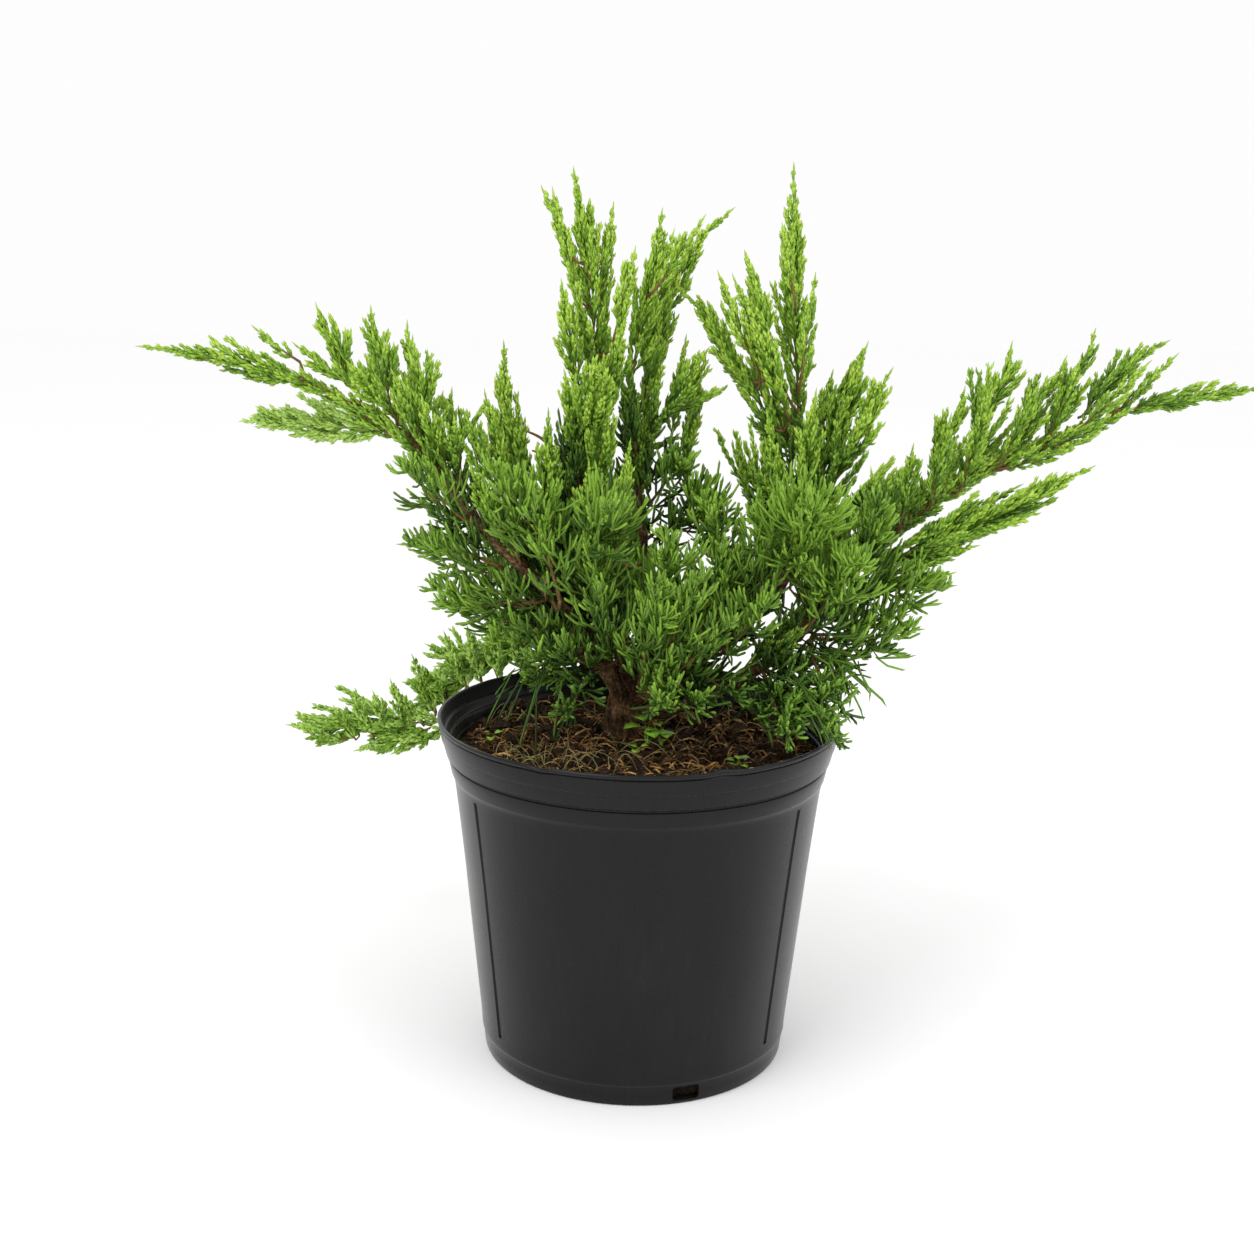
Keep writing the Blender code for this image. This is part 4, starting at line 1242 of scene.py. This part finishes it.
def growBoughSprays(regions):
    places, fullness = foliageShape["profile"]
    seed = foliageShape["boughSeed"]
    usual = 0.045  # a spray this long is as wide as its bough's entry says
    for bough, (low, high, every, lengths, width, kind) in boughSprays.items():
        path = limbPaths[bough]
        steps = int((high - low) * float(stepLengths(path).sum()) / every)
        rng = np.random.default_rng(seed)
        for k in range(steps):
            share = low + (high - low) * (k + 0.5 * rng.random()) / steps
            start = atShare(path, np.array([share]))[0]
            ahead = aheadAt(path, np.array([share]))[0]
            length = np.interp(share, (low, high), lengths) * rng.uniform(0.85, 1.15)
            bothSides = "rear" in bough or (k % 2 == 1 and bough != "bough_left")
            for side in (-1, 1) if bothSides else (1,):
                away = np.array([rng.uniform(-0.25, 0.25), side * rng.uniform(0.55, 1.0),
                                 rng.uniform(0.1, 0.6)])
                if "rear" in bough:
                    away = np.array([-side * ahead[1], side * ahead[0], rng.uniform(0.3, 0.9)])
                aim = unit(0.75 * ahead + 0.9 * away)
                tip = start + length * unit(aim + 0.25 * ahead + (0.0, 0.0, 0.12))
                line = smoothPath((start, start + 0.5 * length * aim, tip), foliageShape["lineStep"])
                seed += 1
                shift = rng.uniform(-0.5, 0.3) + (0.4 if kind == "tip" else 0.0) * (share - 0.5)
                widths = width * np.array(fullness) * length / usual
                growAlong(regions[boughRegions[bough]], line, places, widths, kind, seed, shift - 0.3)


def growBoughShoots(regions):
    for index, (bough, (low, high, wide, kind)) in enumerate(boughShoots.items()):
        line = atShare(limbPaths[bough], np.linspace(low, high, 40))
        growAlong(regions[boughRegions[bough]], line, (0.0, 1.0), np.array(wide), kind,
                  foliageShape["shootSeed"] + index, -0.2)


def growHangingFingers(growth):
    rng = np.random.default_rng(foliageShape["hangingSeed"])
    lowest = soilShape["level"] + foliageShape["hangingClear"]
    for foot, tip, spread, count, width, tone in hangingFingers:
        start = np.array(foot) + rng.normal(0, spread * 0.45, (count, 3)) * (1, 0.8, 0.6)
        end = np.array(tip) + rng.normal(0, spread * 0.6, (count, 3)) * (1, 0.8, 0.5)
        end[:, 2] = np.maximum(end[:, 2], lowest)
        bend = 0.4 * start + 0.6 * end + rng.normal(0, spread * 0.6, (count, 3))
        bend[:, 2] = start[:, 2] + rng.uniform(-0.008, 0.012, count)
        tones = toneIndex(tone + rng.uniform(-0.8, 0.8, count), foliageShape["inner"])
        growth.addFingers(start, bend, end, width * rng.uniform(0.8, 1.2, count), tones, True)
        for share in (0.35, 0.6):
            place, forward = along(start, bend, end, np.clip(share + rng.uniform(-0.12, 0.12, count), 0, 1))
            ref = np.broadcast_to((0.2, 0.3, 0.9), forward.shape)
            aside = sideVectors(forward, rng.uniform(0, tau, count), ref)
            size = rng.uniform(0.009, 0.022, count)[:, None]
            out = unit(forward + 0.8 * aside)
            growth.addFingers(place, place + 0.5 * size * out, place + size * unit(out + 0.5 * forward),
                              width * rng.uniform(0.75, 1.0, count), tones, True)


def regionOf(node):
    if node.startswith("foliage_rear"):
        return "rear"
    if node.startswith(("foliage_left", "foliage_hollow_left")):
        return "left"
    if node.startswith(("foliage_centre", "foliage_front")):
        return "centre"
    if node.startswith("foliage_far"):
        return "far_right"
    return "right"


def growMasses(nodes):
    slots = {part["node"]: part["material_slot"] for part in frame["record"]["subparts"]}
    regions = {}
    for index, node in enumerate(nodes):
        region = regionOf(node)
        growth = regions.setdefault(region, Growth())
        line, places, widths = massLine(node)
        kept = foliageShape["shortened"].get(node, 1.0)
        if kept < 1.0:
            line = atShare(line, np.linspace(0.0, kept, len(line)))
        growth.lines.append(line)
        kind = slots[node].split("_")[1]
        shift = foliageShape["toneOf"].get((region, kind), 0.0)
        if kind == "inner":
            shift += 0.5 * float(np.clip((abs(line[-1][0]) - 0.06) / 0.06, 0.0, 1.0))  # painted light: inner sprays lighter further out from the shaded middle
        if node == foliageShape["rosette"]["node"]:
            kind, shift = "inner", foliageShape["rosette"]["tone"]
        growAlong(growth, line, places, widths, kind, foliageShape["seed"] + index, shift)
    return regions


def fingerMesh(batches):
    # all the fingers of one tone: long ones bend in more rings than short ones
    shapes = []
    for long in (True, False):
        group = [batch for batch in batches if batch[4] == long]
        if group:
            arrays = [np.concatenate([batch[k] for batch in group]) for k in range(4)]
            rings = foliageShape["fingerRings"] if long else foliageShape["tipRings"]
            shapes.append(tubes(*arrays, rings, 5 + len(shapes)))
    return joinShapes(shapes)


def makeFoliage():
    nodes = sorted(n for n in frame["nodes"] if n.startswith("foliage_"))
    regions = growMasses(nodes)
    growHandSprays(regions)
    growBoughSprays(regions)
    growBoughShoots(regions)
    growHangingFingers(regions["centre"])
    for twig, thick in deadTwigs:
        knots = smoothPath(inMetres(twig), 0.003)
        regions["centre"].twigs.append((knots, np.linspace(thick, twigShape["deadEnd"], len(knots))))
    leaves = {tone: mottledMaterial("scaleFoliage_" + tone, greens[tone], foliageShape["look"])
              for tone in toneNames}
    wood = mottledMaterial("twigBark", twigShape["colours"], twigShape["look"])
    total = largest = 0
    for region, growth in regions.items():
        stands = [n for n in nodes if regionOf(n) == region]
        for tone, batches in growth.fingers.items():
            if not batches:
                continue
            points, faces = fingerMesh(batches)
            total += len(faces)
            largest = max(largest, len(faces))
            sprays = meshObject("sprays_" + region + "_" + tone, points, faces, leaves[tone])
            finishPiece(sprays, foliageShape["slots"].get(tone, "foliage_tip"), *stands)
        points, faces = joinShapes([twigTube(*twig) for twig in growth.twigs])
        twigs = meshObject("twigs_" + region, points, faces, wood)
        finishPiece(twigs, "bark", *stands)
    print("foliage grown:", total, "triangles, largest piece", largest)


# Soil: a lumpy bed, loose fibres, chips and clods
soilShape = {
    "columns": 120,
    "wall": ((0.1020, 0.0040), (0.1246, 0.1990), (0.1262, 0.2080)),
    "rings": (0.1262, 0.1225, 0.1180) + tuple(radius / 1000 for radius in range(113, 0, -5)),
    "level": 0.2160,
    "lumps": 0.0074,
    "lumpSizes": ((38, 1.0), (95, 0.6), (240, 0.45)),  # how many to the metre and how strong
    "bank": 0.002,  # the bed rises a little to the wall
    "bankFrom": 0.105,
    "bankOver": 0.021,
    "mix": ((0.0035, 0.0022, 0.0014), (0.018, 0.010, 0.005), (0.080, 0.044, 0.020)),
    "mixLook": {"roughness": (1.0, 0.85), "mottle": (70.0, 700.0, 0.6), "bump": (1.0, 0.003),
                "specular": 0.15},
    "scatterRadius": 0.120,
    "seed": 12,
}
fibreShape = {
    "count": 2500,
    "length": (0.006, 0.027),
    "radius": (0.00022, 0.00080),  # thinnest, and what the thickest has more
    "mostAway": 0.123,
    "arch": (0.001, 0.016),
    "rings": ((0.0, 0.7), (0.25, 1.0), (0.5, 1.0), (0.75, 0.9)),
    "colours": {"soil_fibres_rust": ((0.160, 0.070, 0.021), (0.420, 0.225, 0.074), (0.780, 0.540, 0.250)),
                "soil_fibres_dark": ((0.030, 0.015, 0.006), (0.095, 0.048, 0.019), (0.190, 0.105, 0.042))},
    "look": {"roughness": (0.95, 0.8), "mottle": (200.0, 900.0, 0.4), "bump": (0.3, 0.0003),
             "specular": 0.15},
}
bitShape = {
    "soil_chips": {"count": 520, "size": (0.0035, 0.0012, 0.0007), "spread": 0.7, "colours": (
        (0.045, 0.020, 0.009), (0.130, 0.064, 0.028), (0.300, 0.180, 0.090))},
    "soil_clods": {"count": 640, "size": (0.0044, 0.0037, 0.0030), "spread": 0.6, "colours": (
        (0.004, 0.0024, 0.0014), (0.020, 0.011, 0.0055), (0.120, 0.066, 0.028))},
    "soil_specks": {"count": 70, "size": (0.0010, 0.0009, 0.0007), "spread": 0.5, "colours": (
        (0.25, 0.24, 0.21), (0.42, 0.41, 0.37), (0.62, 0.60, 0.55))},
}
bitLook = {"roughness": (0.95, 0.8), "mottle": (150.0, 900.0, 0.5), "bump": (0.4, 0.0004), "specular": 0.15}
rootletShape = {
    # middle of each patch, its spread, how many
    "patches": (((-0.062, -0.052), 0.026, 22), ((-0.020, -0.060), 0.022, 14), ((0.020, -0.030), 0.030, 10),
                ((0.030, 0.070), 0.040, 12), ((-0.060, 0.060), 0.030, 10)),
    "length": (0.018, 0.042),
    "radius": (0.00028, 0.00046),
    "arch": (0.008, 0.034),
    "tipLift": 0.006,
    "mostAway": 0.118,
    "rings": ((0.0, 0.8), (0.15, 1.0), (0.3, 1.0), (0.45, 1.0), (0.6, 1.0), (0.75, 0.9), (0.9, 0.7)),
    "colours": ((0.130, 0.110, 0.040), (0.260, 0.220, 0.085), (0.420, 0.370, 0.170)),
    "look": {"roughness": (0.80, 0.65), "mottle": (150.0, 900.0, 0.4), "bump": (0.2, 0.0003),
             "specular": 0.2},
}
seedlingShape = {
    # foot, number of leaves, leaf length, turn, height of the stems in leaf lengths
    "places": (((0.0667, -0.0459), 5, 0.0075, 0.3, 1.1), ((0.0060, -0.0120), 5, 0.0135, 1.1, 1.8),
               ((0.0160, -0.0080), 4, 0.0095, 2.0, 1.9), ((0.0000, -0.0200), 3, 0.0080, 0.4, 0.9),
               ((-0.1030, 0.0100), 3, 0.0080, 0.6, 0.9), ((-0.0709, -0.0400), 2, 0.0070, 1.9, 0.9),
               ((-0.0350, -0.0950), 3, 0.0060, 0.2, 0.9), ((0.0500, 0.0800), 4, 0.0065, 0.9, 0.9)),
    "outline": ((0.0, 0.06), (0.22, 0.55), (0.55, 1.0), (0.85, 0.75), (1.0, 0.0), (0.85, -0.75), (0.55, -1.0),
                (0.22, -0.55)),
    "width": 0.42,
    "droop": 0.35,
    "fold": 0.35,
    "stemRadius": 0.00035,
    "colours": ((0.190, 0.470, 0.025), (0.320, 0.660, 0.045), (0.480, 0.820, 0.095)),
    "look": {"roughness": (0.55, 0.42), "mottle": (90.0, 800.0, 0.5), "bump": (0.2, 0.0003), "specular": 0.3},
}


def soilHeight(x, y):
    spot = Vector((x, y, 0.0))
    waves = sum(share * noise.noise(spot * size) for size, share in soilShape["lumpSizes"])
    height = soilShape["level"] + soilShape["lumps"] * waves
    rim = max(0.0, math.hypot(x, y) - soilShape["bankFrom"]) / soilShape["bankOver"]
    return height + soilShape["bank"] * rim * (0.4 + (x < 0) * 0.6)


def soilHeights(spots):
    return np.array([soilHeight(x, y) for x, y in spots])


def keepInside(spots, most):
    # draws places that are too far out back towards the middle
    spots *= np.minimum(1.0, most / np.maximum(np.linalg.norm(spots, axis=1), 1e-6))[:, None]


def makeRootlets(rng):
    spec = rootletShape
    starts, bends, ends = [], [], []
    for (x, y), spread, count in spec["patches"]:
        foot = rng.normal(0, spread * 0.6, (count, 2)) + (x, y)
        turn = rng.uniform(0, tau, count)
        reach = rng.uniform(*spec["length"], count)
        tip = foot + reach[:, None] * np.stack([np.cos(turn), np.sin(turn)], axis=1)
        keepInside(foot, spec["mostAway"])
        keepInside(tip, spec["mostAway"])
        low, high = soilHeights(foot), soilHeights(tip)
        across = np.stack([-np.sin(turn), np.cos(turn)], axis=1)
        side = across * (reach * rng.uniform(-0.5, 0.5, count))[:, None]
        starts.append(np.column_stack([foot, low]))
        ends.append(np.column_stack([tip, high + rng.uniform(0.0, spec["tipLift"], count)]))
        top = np.maximum(low, high) + rng.uniform(*spec["arch"], count)
        bends.append(np.column_stack([0.5 * (foot + tip) + side, top]))
    starts, bends, ends = (np.vstack(part) for part in (starts, bends, ends))
    points, faces = tubes(starts, bends, ends, rng.uniform(*spec["radius"], len(starts)), spec["rings"], 8)
    straw = mottledMaterial("strawRootlet", spec["colours"], spec["look"])
    finishPiece(meshObject("rootlets", points, faces, straw), "soil")


def leafBlade(foot, heading, length):
    # a rounded leaf, folded a little along its middle and closed underneath
    spec = seedlingShape
    width = length * spec["width"]
    aside = unit(np.cross(heading, (0.0, 0.0, 1.0)))
    up = np.cross(aside, heading)
    rim = [foot + heading * length * a - up * length * spec["droop"] * a * a + aside * width * b
           + up * abs(b) * width * spec["fold"] for a, b in spec["outline"]]
    middle = foot + heading * length * 0.5 - up * length * 0.09
    points = rim + [middle + up * 0.0002, middle - up * 0.0004]
    count = len(rim)
    top, under = count, count + 1
    faces = [(top, k, (k + 1) % count) for k in range(count)]
    faces += [(under, (k + 1) % count, k) for k in range(count)]
    return np.array(points), np.array(faces)


def makeSeedlings():
    spec = seedlingShape
    shapes = []
    for (x, y), count, length, turn, tall in spec["places"]:
        foot = np.array([x, y, soilHeight(x, y)])
        for k in range(count):
            angle = turn + tau * k / count + 0.2 * math.sin(5 * k)
            heading = unit((math.cos(angle), math.sin(angle), 0.35))
            top = foot + (0.0, 0.0, tall * length * (1 - 0.12 * k)) + heading * length * 0.25
            shapes.append(leafBlade(top, heading, length))
            stem = np.array([foot, foot + (0.0, 0.0, 0.5 * length), top])
            radius = np.array([spec["stemRadius"]])
            shapes.append(tubes(stem[:1], stem[1:2], stem[2:], radius, ((0.0, 1.0), (0.5, 1.0)), 4))
    points, faces = joinShapes(shapes)
    green = mottledMaterial("seedlingLeaf", spec["colours"], spec["look"])
    finishPiece(meshObject("seedlings", points, faces, green), "soil")


def scatter(rng, count):
    angle = rng.uniform(0, tau, count)
    away = soilShape["scatterRadius"] * np.sqrt(rng.uniform(0, 1, count))
    x, y = away * np.cos(angle), away * np.sin(angle)
    return x, y, soilHeights(zip(x, y))


def makeBed():
    level = soilShape["level"]
    profile = list(soilShape["wall"]) + [(radius, level) for radius in soilShape["rings"]]
    bed = ringedMesh("soil_bed", profile, soilShape["columns"])
    for point in bed.data.vertices:
        if point.co.z > level - 0.002:
            point.co.z = soilHeight(point.co.x, point.co.y)
    setMaterial(bed, mottledMaterial("pottingMix", soilShape["mix"], soilShape["mixLook"]))
    bed.data.shade_smooth()
    finishPiece(bed, "soil", "soil")


def makeFibres(rng):
    # each lies on the bed from end to end and arches a little between
    spec = fibreShape
    count = spec["count"] // len(spec["colours"])
    for name, colours in spec["colours"].items():
        x, y, z = scatter(rng, count)
        turn = rng.uniform(0, tau, count)
        size = rng.uniform(*spec["length"], count)
        start = np.stack([x, y, z + 0.0002], axis=1)
        aim = np.stack([np.cos(turn), np.sin(turn), np.zeros(count)], axis=1)
        across = np.stack([-np.sin(turn), np.cos(turn), np.zeros(count)], axis=1)
        end = start + aim * size[:, None] + across * (size * rng.uniform(-0.5, 0.5, count))[:, None]
        keepInside(end[:, :2], spec["mostAway"])
        end[:, 2] = soilHeights(end[:, :2]) + 0.0003
        bend = 0.5 * (start + end) + across * (size * rng.uniform(-0.9, 0.9, count))[:, None]
        bend[:, 2] += rng.uniform(*spec["arch"], count) * (size / 0.02)
        thinnest, more = spec["radius"]
        points, faces = tubes(start, bend, end, thinnest + more * rng.random(count) ** 2.2, spec["rings"], 3)
        fibres = meshObject(name, points, faces, mottledMaterial(name + "Coir", colours, spec["look"]))
        finishPiece(fibres, "soil")


def makeBits(rng):
    # chips, clods and pale specks are squashed and bent boxes of a few faces
    corners = np.array([(x, y, z) for x in (-1, 1) for y in (-1, 1) for z in (-1, 1)], float)
    boxFaces = np.array([(0, 1, 3), (0, 3, 2), (4, 6, 7), (4, 7, 5), (0, 4, 5), (0, 5, 1), (2, 3, 7),
                         (2, 7, 6), (0, 2, 6), (0, 6, 4), (1, 5, 7), (1, 7, 3)])
    tilt = 0.35
    for name, spec in bitShape.items():
        x, y, z = scatter(rng, spec["count"])
        shapes = []
        for k in range(spec["count"]):
            size = np.array(spec["size"]) * (1 + spec["spread"] * rng.uniform(-1, 1, 3))
            turn = Matrix.Rotation(rng.uniform(0, tau), 3, "Z")
            turn = turn @ Matrix.Rotation(rng.normal(0, tilt), 3, "X")
            turn = np.array(turn @ Matrix.Rotation(rng.normal(0, tilt), 3, "Y"))
            shape = (corners * size * (1 + rng.uniform(-0.35, 0.2, corners.shape))) @ turn.T
            shapes.append((shape + (x[k], y[k], z[k] + 0.4 * size[2]), boxFaces))
        points, faces = joinShapes(shapes)
        mix = mottledMaterial(name + "Mix", spec["colours"], bitLook)
        finishPiece(meshObject(name, points, faces, mix, smooth=False), "soil")


def makeSoil():
    makeBed()
    rng = np.random.default_rng(soilShape["seed"])
    makeFibres(rng)
    makeBits(rng)
    makeRootlets(rng)
    makeSeedlings()
    print("soil laid")


makeStudio()
makePot()
makeSoil()
makeLimbs()
makeFoliage()
